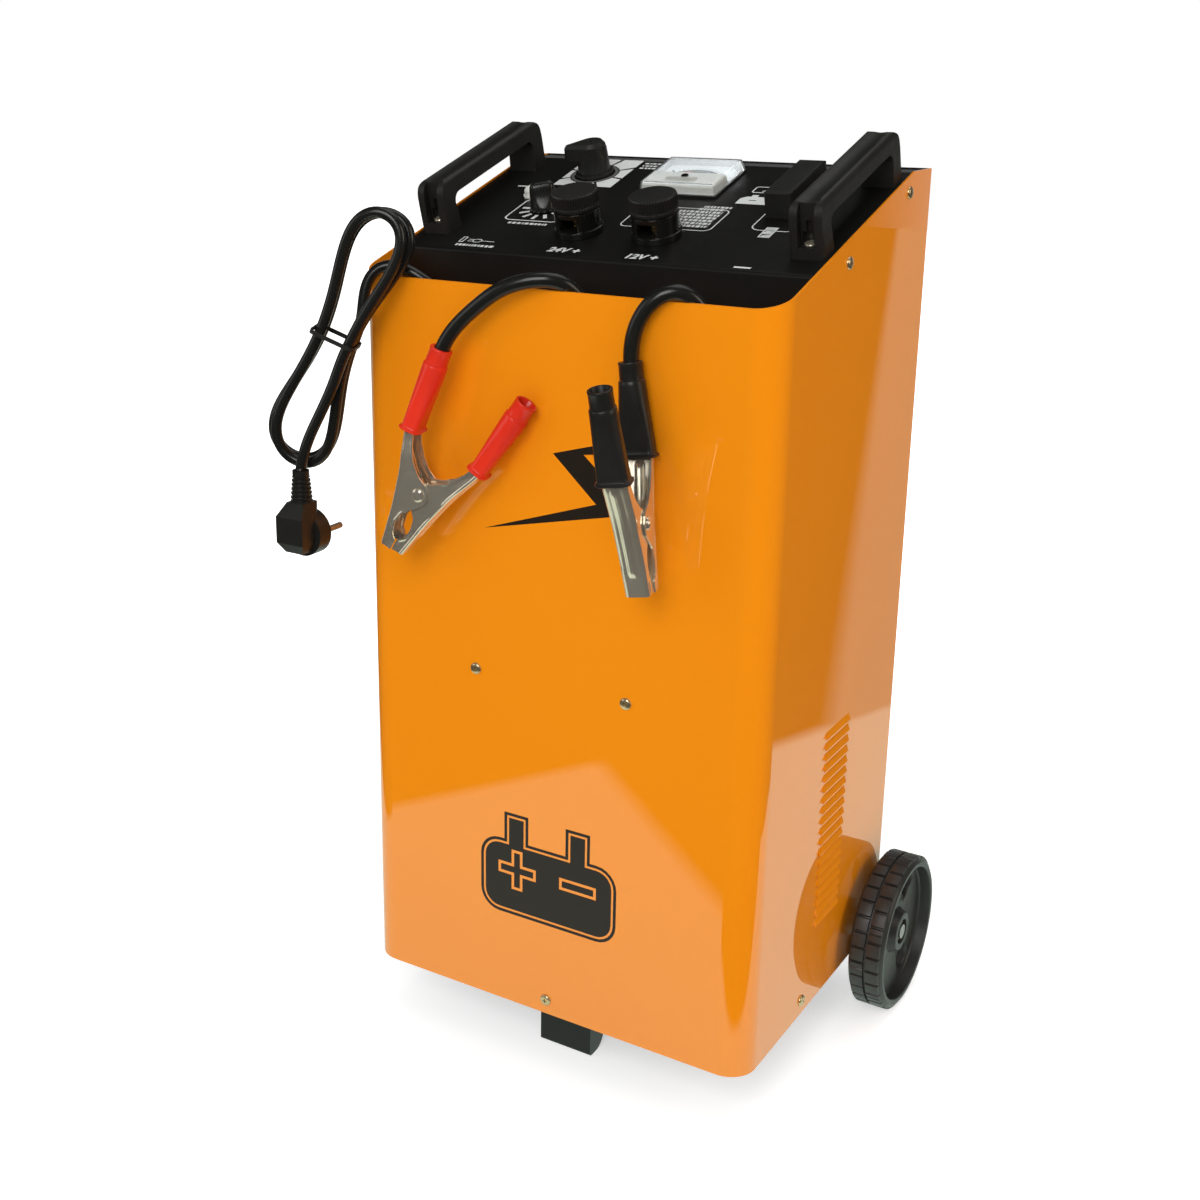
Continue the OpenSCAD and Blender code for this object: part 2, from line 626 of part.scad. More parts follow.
// ---- Fuse
fuse_wall = 1.8;
fuse_foot = 5;
link_in = 9;                             // distance from the cover's edge to the fuse link
link_w = 10;
module fuse_base() color(black) place() on_panel(fuse_x, fuse_s) difference() {
    translate([fuse_wall + 0.4 - fuse_w / 2, fuse_wall + 0.4, 0])
        cube([fuse_w - 2 * fuse_wall - 0.8, fuse_l - 2 * fuse_wall - 0.8, fuse_foot]);
    for (s = fuse_studs) translate([0, s, -through])
        cylinder(fuse_foot + 2 * through, r = fuse_stud_r + 0.1, $fn = 32);
}
module fuse_link() color(steel) place() on_panel(fuse_x, fuse_s) {
    difference() {
        translate([-link_w / 2, link_in, fuse_foot]) cube([link_w, fuse_l - 2 * link_in, 1]);
        for (side = [-1, 1]) translate([side * link_w / 2, fuse_l / 2, fuse_foot - through])
            cylinder(3 * through, r = 3, $fn = 32);
    }
    for (s = fuse_studs) translate([0, s, 0]) {
        translate([0, 0, -2 * fuse_foot]) cylinder(4 * fuse_foot, r = fuse_stud_r, $fn = 32);
        translate([0, 0, fuse_foot + 1]) cylinder(3.5, r = fuse_stud_r + 2.1, $fn = 6);
    }
}
module fuse_cover() color(black) place() on_panel(fuse_x, fuse_s) difference() {
    intersection() {
        translate([0, 0, cap_gap]) linear_extrude(fuse_h)
            polygon(rounded([[-fuse_w / 2, 0], [fuse_w / 2, 0], [fuse_w / 2, fuse_l], [-fuse_w / 2, fuse_l]],
            [2, 2, 4, 4], 4));
        across(fuse_w + 2) polygon(rounded([[0, -through], [fuse_l, -through], [fuse_l, fuse_h],
            [0, fuse_h]],
            [0, 0, 6, 1.5], 5));
        translate([0, fuse_l + through, 0]) rotate([90, 0, 0]) linear_extrude(fuse_l + 2 * through)
            polygon(rounded([[-fuse_w / 2, -through], [fuse_w / 2, -through], [fuse_w / 2, fuse_h],
            [-fuse_w / 2, fuse_h]], [0, 0, 2, 2], 4));
    }
    translate([fuse_wall - fuse_w / 2, fuse_wall, -through])
        cube([fuse_w - 2 * fuse_wall, fuse_l - 2 * fuse_wall, fuse_h - fuse_wall + through - 0.2]);
}

// ---- Wheels and axle
hub_r = 15;
rim_t = 9;
web_z = 8;
shoulder = 2.5;                          // bevel between tread and rim
recess = 9;                              // depth of the hub's recess for the clip
clip_gap = 0.4;
clip_t = 1;
pocket_r = 11;
pocket_at = wheel_r - rim_t - 16;
zigzag = 1.8;                            // width of the smooth band between the tread rows
tread_steps = [0, 0.12, 0.16, 0.5, 0.84, 0.88];  // a groove and a block, as shares of the pitch
module tread_row(z, l, shift) translate([0, 0, z]) linear_extrude(l)
    polygon([for (i = [0:tread_n - 1]) for (k = [0:5])
        let (a = 360 * (i + shift + tread_steps[k]) / tread_n, r = wheel_r - (k < 2 ? tread_depth : 0))
        r * [cos(a), sin(a)]]);
module wheel() difference() {
    union() {
        rotate_extrude($fn = 96) polygon([
            [0, 0], [hub_r, 0], [hub_r, web_z], [wheel_r - rim_t, web_z], [wheel_r - rim_t - 1, 1.5],
            [wheel_r - 2 * shoulder, 0], [wheel_r - tread_depth, shoulder],
            [wheel_r - tread_depth, wheel_w - shoulder], [wheel_r - 2 * shoulder, wheel_w],
            [wheel_r - rim_t, wheel_w], [wheel_r - rim_t - 1.5, wheel_w - 10], [hub_r + 3, wheel_w - 12],
            [hub_r, wheel_w - 5], [0, wheel_w - 5]]);
        tread_row(shoulder, (wheel_w - zigzag) / 2 - shoulder, 0);
        tread_row((wheel_w + zigzag) / 2, (wheel_w - zigzag) / 2 - shoulder, 0.5);
    }
    for (i = [0:2]) rotate([0, 0, 120 * i + 30]) translate([pocket_at, 0, 0]) {
        translate([0, 0, wheel_w - 15]) cylinder(wheel_w, r = pocket_r, $fn = 48);
        translate([0, 0, -through]) cylinder(web_z + 3, r = pocket_r - 2, $fn = 48);
    }
    translate([0, 0, -through]) cylinder(wheel_w + 2 * through, r = axle_r + run_gap);
    translate([0, 0, wheel_w - recess]) cylinder(recess + through, r = axle_r + 4.5, $fn = 48);
}
module on_axle(side) place() translate([side * wheel_x, axle_y, axle_z]) rotate([0, side * 90, 0])
    children();
module left_wheel() color(grey) on_axle(-1) wheel();
module right_wheel() color(grey) on_axle(1) wheel();
axle_end = wheel_x + wheel_w - 5;
clip_z = wheel_w - recess + clip_gap;
clip_groove = 1;                         // depth of the clip's groove in the axle
module axle() color(steel) place() translate([0, axle_y, axle_z]) rotate([0, 90, 0]) difference() {
    cylinder(2 * axle_end, r = axle_r, center = true);
    for (side = [-1, 1]) translate([0, 0, side * (wheel_x + clip_z + clip_t / 2)]) difference() {
        cylinder(clip_t + 0.1, r = axle_r + 1, center = true);
        cylinder(clip_t + 0.1, r = axle_r - clip_groove, center = true);
    }
}
module axle_spacers() color(steel) for (side = [-1, 1]) on_axle(side) translate([0, 0, -spacer_l])
    difference() {
    cylinder(spacer_l - 0.3, r = axle_r + 3.5, $fn = 48);
    translate([0, 0, -through]) cylinder(spacer_l + 2 * through, r = axle_r + 0.1);
}
module axle_clips() color(steel) for (side = [-1, 1]) on_axle(side) translate([0, 0, clip_z]) difference() {
    cylinder(clip_t, r = axle_r + 3, $fn = 48);
    translate([0, 0, -through]) cylinder(3 * clip_t, r = axle_r - clip_groove + 0.05);
    translate([-(axle_r - 1.5), 0, -through]) cube([2 * axle_r - 3, axle_r + 5, 3 * clip_t]);
}

// ---- Inside
core_y = (bin_d + body_d) / 2;
bracket_t = 2;
bracket_d = 34;
bracket_h = 18;
bracket_lap = 20;                        // length of a bracket's foot under the core
core_z = sheet + bracket_t;
core_window_h = core_h - 2 * limb_w;
core_window_w = (core_w - 4 * limb_w) / 2;
module transformer_core() color(grey) place() translate([0, core_y + core_t / 2, core_z]) rotate([90, 0, 0])
    linear_extrude(core_t) difference() {
        translate([-core_w / 2, 0]) square([core_w, core_h]);
        for (side = [-1, 1])
            translate([side * (limb_w + core_window_w / 2), limb_w + core_window_h / 2])
            square([core_window_w, core_window_h], center = true);
    }
winding_r = 10;
winding_gap = 0.5;
primary_h = core_window_h * 0.55;
module winding(z0, h, grow) translate([0, core_y, core_z + limb_w + z0]) difference() {
    linear_extrude(h) polygon(rounded([for (c = [[-1, -1], [1, -1], [1, 1], [-1, 1]])
        [c[0] * (limb_w + grow), c[1] * (core_t / 2 + grow)]], [for (i = [0:3]) winding_r], 6));
    translate([0, 0, -through]) linear_extrude(h + 2 * through) square([2 * limb_w, core_t], center = true);
}
module primary_winding() color(copper) place() winding(winding_gap, primary_h, core_window_w - 1.5);
module secondary_winding() color(copper) place()
    winding(primary_h + 2 * winding_gap, core_window_h - primary_h - 3 * winding_gap, core_window_w - 1.5);
module transformer_brackets() color(steel) place()
    for (side = [0, 1]) translate([0, core_y, sheet]) mirror([0, side, 0])
        translate([-core_w / 2, core_t / 2, 0]) {
        translate([0, -bracket_d + bracket_lap, 0]) cube([core_w, bracket_d, bracket_t]);
        translate([0, 0, bracket_t]) cube([core_w, bracket_t, bracket_h]);
    }
plate_x = 118;
plate_h = 150;
plate_w = 120;
plate_t = 3;
fin_n = 8;
fin_pitch = 15;
fin_out = 22;
module rectifier_plate() color(steel) place() translate([plate_x, core_y - plate_w / 2, sheet]) {
    cube([30, plate_w, plate_t]);
    cube([plate_t, plate_w, plate_h]);
    for (i = [0:fin_n - 1]) translate([plate_t, 6 + fin_pitch * i, 30]) cube([fin_out, 2, plate_h - 34]);
}
diode_y = 35;
diode_z = [60, 115];
module rectifier_diodes() color(brass) place() for (z = diode_z) for (side = [-1, 1])
    translate([plate_x, core_y + side * diode_y, sheet + z]) rotate([0, -90, 0]) {
        cylinder(6, r = 13, $fn = 6);
        cylinder(14, r = 10, $fn = 40);
        cylinder(22, r = 2.5, $fn = 24);
    }
cutout_w = 30;
cutout_r = 8;
module thermal_cutout() color(black) place() translate([0, core_y, core_z + core_h]) {
    translate([-cutout_w / 2, -cutout_r, 0]) cube([cutout_w, 2 * cutout_r, 3]);
    cylinder(9, r = cutout_r, $fn = 40);
    for (side = [-1, 1]) translate([side * 4 - 0.4, -3, 8]) cube([0.8, 6, 9]);
}

// ---- Glands in the fascia
gland_out = 12;
gland_in = 12;
collar = 2.5;                            // thickness and width of a gland's collar
wall_depth = 2 * sheet + 0.1;            // thickness of the fascia with the bin's back behind it
module mains_gland() color(black) place() translate([gland_x, bin_d, gland_z]) rotate([90, 0, 0])
    difference() {
    rotate_extrude($fn = 48) polygon([[0, -gland_in], [gland_r - 0.6, -gland_in], [gland_r, -wall_depth],
        [gland_r, 0], [gland_r + collar, 0], [gland_r + collar, collar], [gland_r - 0.5, collar + 1.5],
        [mains_cord_d / 2 + 1.4, gland_out], [0, gland_out]]);
    translate([0, 0, -gland_in - through]) cylinder(gland_in, r = mains_cord_d / 2, $fn = 40);
}
negative_out = 8;
negative_in = 10;
module negative_gland() color(black) place() translate([negative_x, bin_d, negative_z]) rotate([90, 0, 0])
    difference() {
        rotate_extrude($fn = 48) polygon([[0, -negative_in], [negative_r - 1, -negative_in],
            [negative_r, -wall_depth], [negative_r, 0], [negative_r + collar + 0.5, 0],
            [negative_r + collar + 0.5, collar + 0.5], [negative_r - 1.5, negative_out], [0, negative_out]]);
        translate([0, 0, -negative_in - through]) cylinder(negative_in, r = lead_d / 2, $fn = 40);
    }

// ---- Mains lead: a free run from the gland, a tied hank, and a tail to the plug
mains_route = [
    [-95, 42.5, 545], [-95, 34, 545], [-96.5, 25, 547.5], [-101, 17, 552.5], [-109, 11, 560], [-119, 7, 567],
    [-130, 4, 572.5], [-140, 0.5, 574], [-149, -4, 570], [-153.5, -7.5, 561], [-155, -9.5, 550],
        [-155, -10.8, 541]];
hank_at = [-171.5, -19, 521.5];
hank_turn = 25;           // the hank's plane about the vertical
hank_lean = 24;           // the hank's long axis from the vertical
hank_half = 100;          // half the length of its loops
hank_waist = 12;          // half the width at the tie
hank_bulge = 43;          // how much wider each loop is half way to its ends
hank_bow = 6;             // how far both ends of the loops lie to the right of the waist
hank_sway = 3;            // the upper end lies further right than the lower one by twice this
hank_narrow = 5;          // each loop is narrower than the one behind it, by twice this
hank_loops = 2;
hank_pitch = 9.4;
hank_steps = 24;
climb_from = 200;         // the climb to the next loop runs over this part of a turn
climb_to = 310;
function hank_world(c, a, n) =
    let (b = c * cos(hank_lean) + a * sin(hank_lean), z = a * cos(hank_lean) - c * sin(hank_lean))
    hank_at + [b * cos(hank_turn) + n * sin(hank_turn), b * sin(hank_turn) - n * cos(hank_turn), z];
function climb(turned) =
    let (done = floor(turned / 360), part = (turned - 360 * done - climb_from) / (climb_to - climb_from))
    done + max(0, min(1, part));
function hank_point(turned) =
    let (angle = turned + 90, near_end = pow(cos(angle), 2), drawn_in = hank_narrow * climb(turned))
    hank_world(sin(angle) * (hank_waist + (hank_bulge - drawn_in) * near_end)
        + (hank_bow + (hank_sway - drawn_in) * cos(angle)) * near_end,
        hank_half * cos(angle), hank_pitch * climb(turned));
// Across the hank, along it, and in loops from its back
tail_route = [[11.4, -11, 2], [12.6, -24, 2], [13, -38, 2.1], [12.6, -53, 2.2], [11.9, -67, 2.3],
    [11.8, -80, 2.35],
    [13.3, -90.5, 2.35], [15.4, -99.7, 2.35]];
hank_path = concat([hank_world(hank_waist, mains_cord_d, 0)],
    [for (i = [0:hank_steps * hank_loops]) hank_point(360 * i / hank_steps)],
    [for (p = tail_route) hank_world(p[0], p[1], p[2] * hank_pitch)]);
mains_path = concat(mains_route, [2 * hank_path[0] - hank_path[1], hank_path[0]]);
module mains_lead() color(black) place() tube(mains_path, mains_cord_d, 8);
module mains_hank() color(black) place() tube(hank_path, mains_cord_d, 6);
echo(hank_self_gap = self_gap(hank_path, mains_cord_d, 6));
module hank_frame() translate(hank_at) rotate([0, 0, hank_turn]) rotate([0, hank_lean, 0]) children();
tie_l = 3;
tie_t = 1.2;
module tie_outline(grow, r) {
    w = hank_waist + (mains_cord_d + 1) / 2 + grow;
    d = (hank_loops * hank_pitch + mains_cord_d + 1) / 2 + grow;
    polygon(rounded([[-w, -d], [w, -d], [w, d], [-w, d]], [r, r, r, r]));
}
module hank_tie() color(black) place() hank_frame()
    translate([0, -hank_loops * hank_pitch / 2, -tie_l / 2]) linear_extrude(tie_l) difference() {
        tie_outline(tie_t, 5);
        tie_outline(0, 4);
    }
// The plug hangs from the end of the tail: its own z runs up the cord, its pins point along x
plug_at = hank_path[len(hank_path) - 1];
plug_turn = 90;
echo(plug_at = plug_at);
plug_pin_z = -49;         // height of the pins below the end of the cord
plug_disc_r = 17.5;
disc_x = 2;
disc_t = 13;
disc_edge = 2;
relief_l = 26;            // the ribbed sleeve over the cord
relief_from = 5;          // the first rib lies this far below the sleeve's top
relief_ribs = 6;
rib_pitch = 3.2;
rib_depth = 1.6;
rib_steps = [0, 0.1, 0.5, 0.6];           // the groove above a rib, as shares of the pitch
function relief_r(z) = mains_cord_d / 2 + 2.2 + 2.2 * z / relief_l;
// The plug's body: each level has its size across, its size along x, its x and its height
plug_levels = [[16, 16, -8, -28], [25, 17, -16, -54], [16, 12, -11, -62]];
plug_level_h = [4, 20, 2];
module on_plug() place() translate(plug_at) rotate([0, 0, plug_turn]) children();
module mains_plug() color(black) on_plug() {
    rotate_extrude($fn = 32) polygon(concat([[0, 0], [relief_r(0), 0], [relief_r(0), -relief_from]],
        [for (i = [0:relief_ribs - 1]) for (k = [0:3]) let (z = relief_from + rib_pitch * (i + rib_steps[k]))
            [relief_r(z) - (k == 1 || k == 2 ? rib_depth : 0), -z]],
        [[relief_r(relief_l), -relief_l], [0, -relief_l]]));
    hull() for (i = [0:2]) translate([plug_levels[i][2], -plug_levels[i][0] / 2, plug_levels[i][3]])
        cube([plug_levels[i][1], plug_levels[i][0], plug_level_h[i]]);
    hull() for (edge = [0, disc_edge]) translate([-1, 0, plug_pin_z]) rotate([0, 90, 0])
        cylinder(disc_x + disc_t - edge, r = plug_disc_r - disc_edge + edge, $fn = 32);
}
pin_r = 2.4;
pin_l = 19;
pin_gap = 19;
module plug_pins() color(steel) for (side = [-1, 1]) on_plug()
    translate([disc_x + disc_t - 1, side * pin_gap / 2, plug_pin_z]) rotate([0, 90, 0])
    cylinder(pin_l, r = pin_r, $fn = 32);

// ---- Charging leads: each winds in the bin and runs over the front sheet to its clamp
coil_r = 65;
coil_z = bin_z + coil_r + lead_d / 2 + 0.5;
coil_pitch = 12;
red_coil_x = -51;
black_coil_x = 94;
coil_steps = 24;
coil_end_l = 0.6 * lead_d; // length of a coil's straight ends
// A standing coil from the angle `from`, counted from the right and seen from the front, with straight ends
function coil_at(x, y, a) = [x + coil_r * cos(a), y, coil_z + coil_r * sin(a)];
function coil_end(x, y, a, way) = coil_at(x, y, a) + way * coil_end_l * [-sin(a), 0, cos(a)];
function coil(x, y, from, turns, pitch) =
    let (way = sign(turns), to = from + 360 * turns, steps = round(coil_steps * abs(turns)))
    concat([coil_end(x, y, from, -way)],
        [for (i = [0:steps]) coil_at(x, y + pitch * i / coil_steps, from + way * 360 * i / coil_steps)],
        [coil_end(x, y + pitch * abs(turns), to, way)]);
red_coil_y = 48;
red_turns = -2.75;
black_coil_y = 10;
black_turns = 2.5;
red_path = coil(red_coil_x, red_coil_y, 0, red_turns, -coil_pitch);
black_path = coil(black_coil_x, black_coil_y, 180, black_turns, coil_pitch);
echo(red_coil_gap = self_gap(red_path, lead_d, 6), black_coil_gap = self_gap(black_path, lead_d, 6));
red_route = [
    [14, 48, 376], [14, 48, 398], [16, 46, 430], [18.5, 42, 462], [20.5, 37, 492], [20.5, 31, 517],
        [18.5, 24, 538],
    [15, 16, 556], [10, 8, 567.6], [3, 0, 573], [-11, -7, 572.8], [-33, -13.5, 566], [-57, -17.5, 547.5],
    [-70.5, -20.5, 533.5], [-76.8, -22.3, 521.8], [-82, -23.4, 508.8]];
black_route = [
    [159, 40, 376], [159, 39.5, 389], [156, 37, 412], [150.5, 33.5, 436], [144, 29, 461], [137, 24.5, 485],
    [129.5, 21, 507], [122, 18, 526], [115, 15, 543], [109, 11.5, 558], [102.5, 6, 569.4], [93.5, -1, 573.5],
    [82.5, -6, 568.5], [72.5, -8.8, 556], [67.3, -9.6, 540.5], [66.8, -9.7, 525], [68, -9.9, 511.1]];
black_tail = [[111, 46.5, 535], [111, 39, 535], [110.5, 31, 530], [106, 25, 517], [99, 21, 501],
    [88, 17.5, 483],
    [75, 14.5, 464], [61, 12, 444], [46, 10.5, 421], [34.5, 10, 399], [29.5, 10, 381], [29, 10, 376]];
module red_coil() color(black) place() tube(red_path, lead_d, 6);
module black_coil() color(black) place() tube(black_path, lead_d, 6);
module red_lead() color(black) place() tube(concat([red_path[0]], red_route), lead_d, 8);
module black_lead() color(black) place() {
    tube(concat([black_path[len(black_path) - 1]], black_route), lead_d, 8);
    tube(concat(black_tail, [black_path[0]]), lead_d, 8);
}
red_end = red_path[len(red_path) - 1];
lug_w = 16;
lug_t = 3;
lug_l = 14;
module red_lug() color(steel) place() translate(red_end) rotate([0, 90, 0]) {
    cylinder(lug_l + 2, r = lead_d / 2 - 0.5, $fn = 40);
    translate([-lug_w / 2, -lug_t / 2, lug_l]) difference() {
        union() {
            cube([lug_w, lug_t, lug_l]);
            translate([lug_w / 2, lug_t, lug_l]) rotate([90, 0, 0]) cylinder(lug_t, r = lug_w / 2, $fn = 48);
        }
        translate([lug_w / 2, lug_t + through, lug_l]) rotate([90, 0, 0])
            cylinder(lug_t + 2 * through, r = stud_r + 0.3, $fn = 40);
    }
}

// ---- Clamps: x runs across the jaws, z up to the handles, y along the rivet
red_clamp_at = [-92.1, -25.1, 415.4];
red_clamp_turn = [0, 28, 10.8];
black_clamp_at = [85.2, -36.1, 422.5];
black_clamp_turn = [7, 3.6, -76.7];
handle_end = [32.7, 70];
handle_t = 9;
neck_z = 36;              // where a handle leaves its sleeve
back = [[33.6, neck_z + 1], [28.6, 25], [23.6, 12], [19, -4], [14.4, -22]];
outer_edge = concat([handle_end + [handle_t / 2 - 1, 0]], back, [[9.5, -jaw_l]]);
rib_edge = concat(back, [[12, -34]]);
rib_w = 6;
rib_out = 0.8;
inner_edge = [[0.3, -jaw_l], [0.3, 8 - jaw_l], [4.5, 12 - jaw_l], [6.3, -28], [4.5, -19], [0.3, -14],
    [-6, -7], [-8, 1], [-4, 8],
    [6, 12], [15, 20], [21, 29], [24.6, neck_z + 1], handle_end - [handle_t / 2 - 1, 0]];
module cheek() polygon(concat(outer_edge, inner_edge));
module standing(w) rotate([90, 0, 0]) translate([0, 0, -w / 2]) linear_extrude(w) children();
handle_taper = 4;
module half_clamp(w) difference() {
    intersection() {
        union() {
            for (side = [-1, 1]) translate([0, side * (w - clamp_t) / 2, 0]) standing(clamp_t) cheek();
            standing(w) polygon(strip(reversed(outer_edge), clamp_t, 3, 3));
            standing(rib_w) polygon(strip(shifted(reversed(rib_edge), -rib_out), clamp_t, 3, 3));
        }
        across(4 * handle_end[0]) polygon([[-w / 2, -jaw_l], [w / 2, -jaw_l], [w / 2, neck_z],
            [w / 2 - handle_taper, handle_end[1]], [handle_taper - w / 2, handle_end[1]], [-w / 2, neck_z]]);
    }
    rotate([90, 0, 0]) cylinder(w + 2, r = rivet_r + run_gap, center = true, $fn = 40);
}
jaw_w = clamp_w - 2 * clamp_t - 0.6;
module in_red() place() translate(red_clamp_at) rotate(red_clamp_turn) children();
module in_black() place() translate(black_clamp_at) rotate(black_clamp_turn) children();
module red_clamp_frame() color(steel) in_red() mirror([1, 0, 0]) half_clamp(clamp_w);
module red_clamp_jaw() color(steel) in_red() half_clamp(jaw_w);
module black_clamp_frame() color(steel) in_black() mirror([1, 0, 0]) half_clamp(clamp_w);
module black_clamp_jaw() color(steel) in_black() half_clamp(jaw_w);
sleeve_from = [29, 0, neck_z + 1];
sleeve_tilt = 6.6;
sleeve_wall = 1.5;
sleeve_gap = 0.3;
sleeve_top_r = 8.7;
sleeve_neck = 12;         // length of the round end
flange_t = 2;
flange_out = 3.5;
module sleeve_section(w, d, r)
    polygon(rounded([[-d / 2, -w / 2], [d / 2, -w / 2], [d / 2, w / 2], [-d / 2, w / 2]], [r, r, r, r], 4));
module sleeve_body(w, inset) hull() {
    translate([0, 0, inset > 0 ? -0.1 : 0]) linear_extrude(0.1)
        sleeve_section(w + 2 * (sleeve_gap + sleeve_wall - inset),
            handle_t + 1 + 2 * (sleeve_wall - inset), 2.5 - inset);
    translate([0, 0, sleeve_l - sleeve_neck]) cylinder(0.1, r = sleeve_top_r - inset, $fn = 32);
}
module sleeve(w, bore_r) translate(sleeve_from) rotate([0, sleeve_tilt, 0]) difference() {
    union() {
        sleeve_body(w, 0);
        translate([0, 0, sleeve_l - sleeve_neck]) cylinder(sleeve_neck, r = sleeve_top_r - 0.5, $fn = 48);
        linear_extrude(flange_t) sleeve_section(w + 2 * flange_out, handle_t + 2 * flange_out + 0.5, 6.5);
    }
    sleeve_body(w, sleeve_wall);
    translate([0, 0, sleeve_l - sleeve_neck - 1]) cylinder(sleeve_neck + 2, r = bore_r, $fn = 48);
}
held_bore = lead_d / 2 + sleeve_gap;
open_bore = sleeve_top_r - sleeve_wall - 0.5;
module red_frame_sleeve() color(red) in_red() mirror([1, 0, 0]) sleeve(clamp_w, held_bore);
module red_jaw_sleeve() color(red) in_red() sleeve(jaw_w, open_bore);
module black_frame_sleeve() color(black) in_black() mirror([1, 0, 0]) sleeve(clamp_w, held_bore);
module black_jaw_sleeve() color(black) in_black() sleeve(jaw_w, open_bore);
module rivet() rotate([90, 0, 0]) {
    cylinder(clamp_w, r = rivet_r, center = true, $fn = 40);
    for (side = [0, 1]) mirror([0, 0, side]) translate([0, 0, clamp_w / 2]) rotate_extrude($fn = 32)
        polygon([[0, 0], [5.2, 0], [4.8, 1.2], [3.4, 2.2], [0, 2.7]]);
}
module clamp_rivets() color(steel) {
    in_red() rivet();
    in_black() rivet();
}
spring_r = 4.6;
spring_wire = 1.8;
spring_turns = 4;
spring_pitch = 2.2;
spring_y = 4.4;
spring_path = concat(
    [[-26.4, spring_y, 24], [-15, spring_y, 11]],
    [for (i = [0:12 * spring_turns]) let (a = 140 - 30 * i)
        [spring_r * cos(a), spring_y - spring_pitch * i / 12, spring_r * sin(a)]],
    [[-4.2, -4.6, 8], [-8, -4.6, 14]]);
module clamp_springs() color(steel) {
    in_red() tube(spring_path, spring_wire, 6);
    in_black() tube(spring_path, spring_wire, 6);
}

housing_wrap();
rear_cover();
base_plate();
front_foot();
control_panel();
cable_bin();
left_handle();
right_handle();
handle_screws();
selector_knob();
selector_switch();
start_knob();
start_switch();
pilot_lamp();
terminal_bases();
terminal_studs();
terminal_cap_24v();
terminal_cap_12v();
meter_case();
meter_dial();
meter_pointer();
meter_cover();
fuse_base();
fuse_link();
fuse_cover();
left_wheel();
right_wheel();
axle();
axle_spacers();
axle_clips();
transformer_core();
primary_winding();
secondary_winding();
transformer_brackets();
rectifier_plate();
rectifier_diodes();
thermal_cutout();
mains_gland();
negative_gland();
case_screws();
mains_lead();
mains_hank();
hank_tie();
mains_plug();
plug_pins();
red_lead();
red_coil();
red_lug();
black_lead();
black_coil();
red_clamp_frame();
red_clamp_jaw();
red_frame_sleeve();
red_jaw_sleeve();
black_clamp_frame();
black_clamp_jaw();
black_frame_sleeve();
black_jaw_sleeve();
clamp_rivets();
clamp_springs();
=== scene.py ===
"""Looks of a wheeled car battery charger: materials, prints, cords and fine parts round the CAD frame."""

import math
import random

import bmesh
import bpy
from mathutils import Matrix, Vector

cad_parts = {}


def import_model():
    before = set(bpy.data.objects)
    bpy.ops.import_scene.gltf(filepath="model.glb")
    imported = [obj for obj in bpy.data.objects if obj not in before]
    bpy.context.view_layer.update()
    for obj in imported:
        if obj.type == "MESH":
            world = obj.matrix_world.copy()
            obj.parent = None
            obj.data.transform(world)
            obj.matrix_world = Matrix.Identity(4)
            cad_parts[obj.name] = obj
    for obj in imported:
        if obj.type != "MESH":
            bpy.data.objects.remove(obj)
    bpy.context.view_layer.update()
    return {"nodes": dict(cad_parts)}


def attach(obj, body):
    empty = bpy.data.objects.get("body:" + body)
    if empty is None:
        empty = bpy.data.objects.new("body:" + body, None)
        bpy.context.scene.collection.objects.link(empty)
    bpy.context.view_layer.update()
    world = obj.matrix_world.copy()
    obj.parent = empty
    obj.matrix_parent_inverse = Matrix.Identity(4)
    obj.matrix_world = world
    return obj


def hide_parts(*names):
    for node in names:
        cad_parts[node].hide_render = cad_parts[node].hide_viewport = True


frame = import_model()

MM = 0.001
ROOT = "root"

# ---- Sizes of the frame, in millimetres, as the part has them
BODY_W = 336
BODY_D = 271
FRONT_H = 565
SLOPE = math.radians(17.2)
BIN_D = 54.5
BIN_Z = 288
PANEL_DROP = 1
PANEL_Z = FRONT_H + BIN_D * math.tan(SLOPE) - PANEL_DROP
MID_Y = 152.9             # the housing's front sheet lies this far in front of the origin
FLOOR_GAP = 49            # the housing's bottom edge lies this far above the floor


def world(x, y, z):
    """A point of the housing's own frame (front sheet at y 0, bottom edge at z 0), in metres."""
    return Vector((x, y - MID_Y, z + FLOOR_GAP)) * MM


def at(x, y, z):
    """Matrix that puts millimetres of the housing's frame at a point of it."""
    return Matrix.Translation(world(x, y, z)) @ Matrix.Scale(MM, 4)


def on_panel(x, s, h=0.0):
    """Matrix from millimetres on the sloped panel: x across, s up the slope, h above it."""
    base = Matrix.Translation(world(0, BIN_D, PANEL_Z)) @ Matrix.Rotation(SLOPE, 4, "X")
    return base @ Matrix.Scale(MM, 4) @ Matrix.Translation((x, s, h))


def on_front(x, z, out=0.0):
    """Matrix from millimetres on the front sheet: x across, y up, z out of it."""
    return at(x, -out, z) @ Matrix.Rotation(math.pi / 2, 4, "X")


def linked(name, data):
    """A new object in the scene."""
    thing = bpy.data.objects.new(name, data)
    bpy.context.scene.collection.objects.link(thing)
    return thing


def polar(r, angle, x=0, y=0):
    """The point at a radius and an angle from a centre."""
    return (x + r * math.cos(angle), y + r * math.sin(angle))


# ---- Camera
VIEW_AZ = math.radians(32.78)
VIEW_EL = math.radians(16.95)
EYE = world(567.3, -947.4, 724.1)
FOCAL_PX = 1616.15
CENTRE_PX = (499.83, 539.94)
IMAGE_PX = 1200
SENSOR_MM = 36


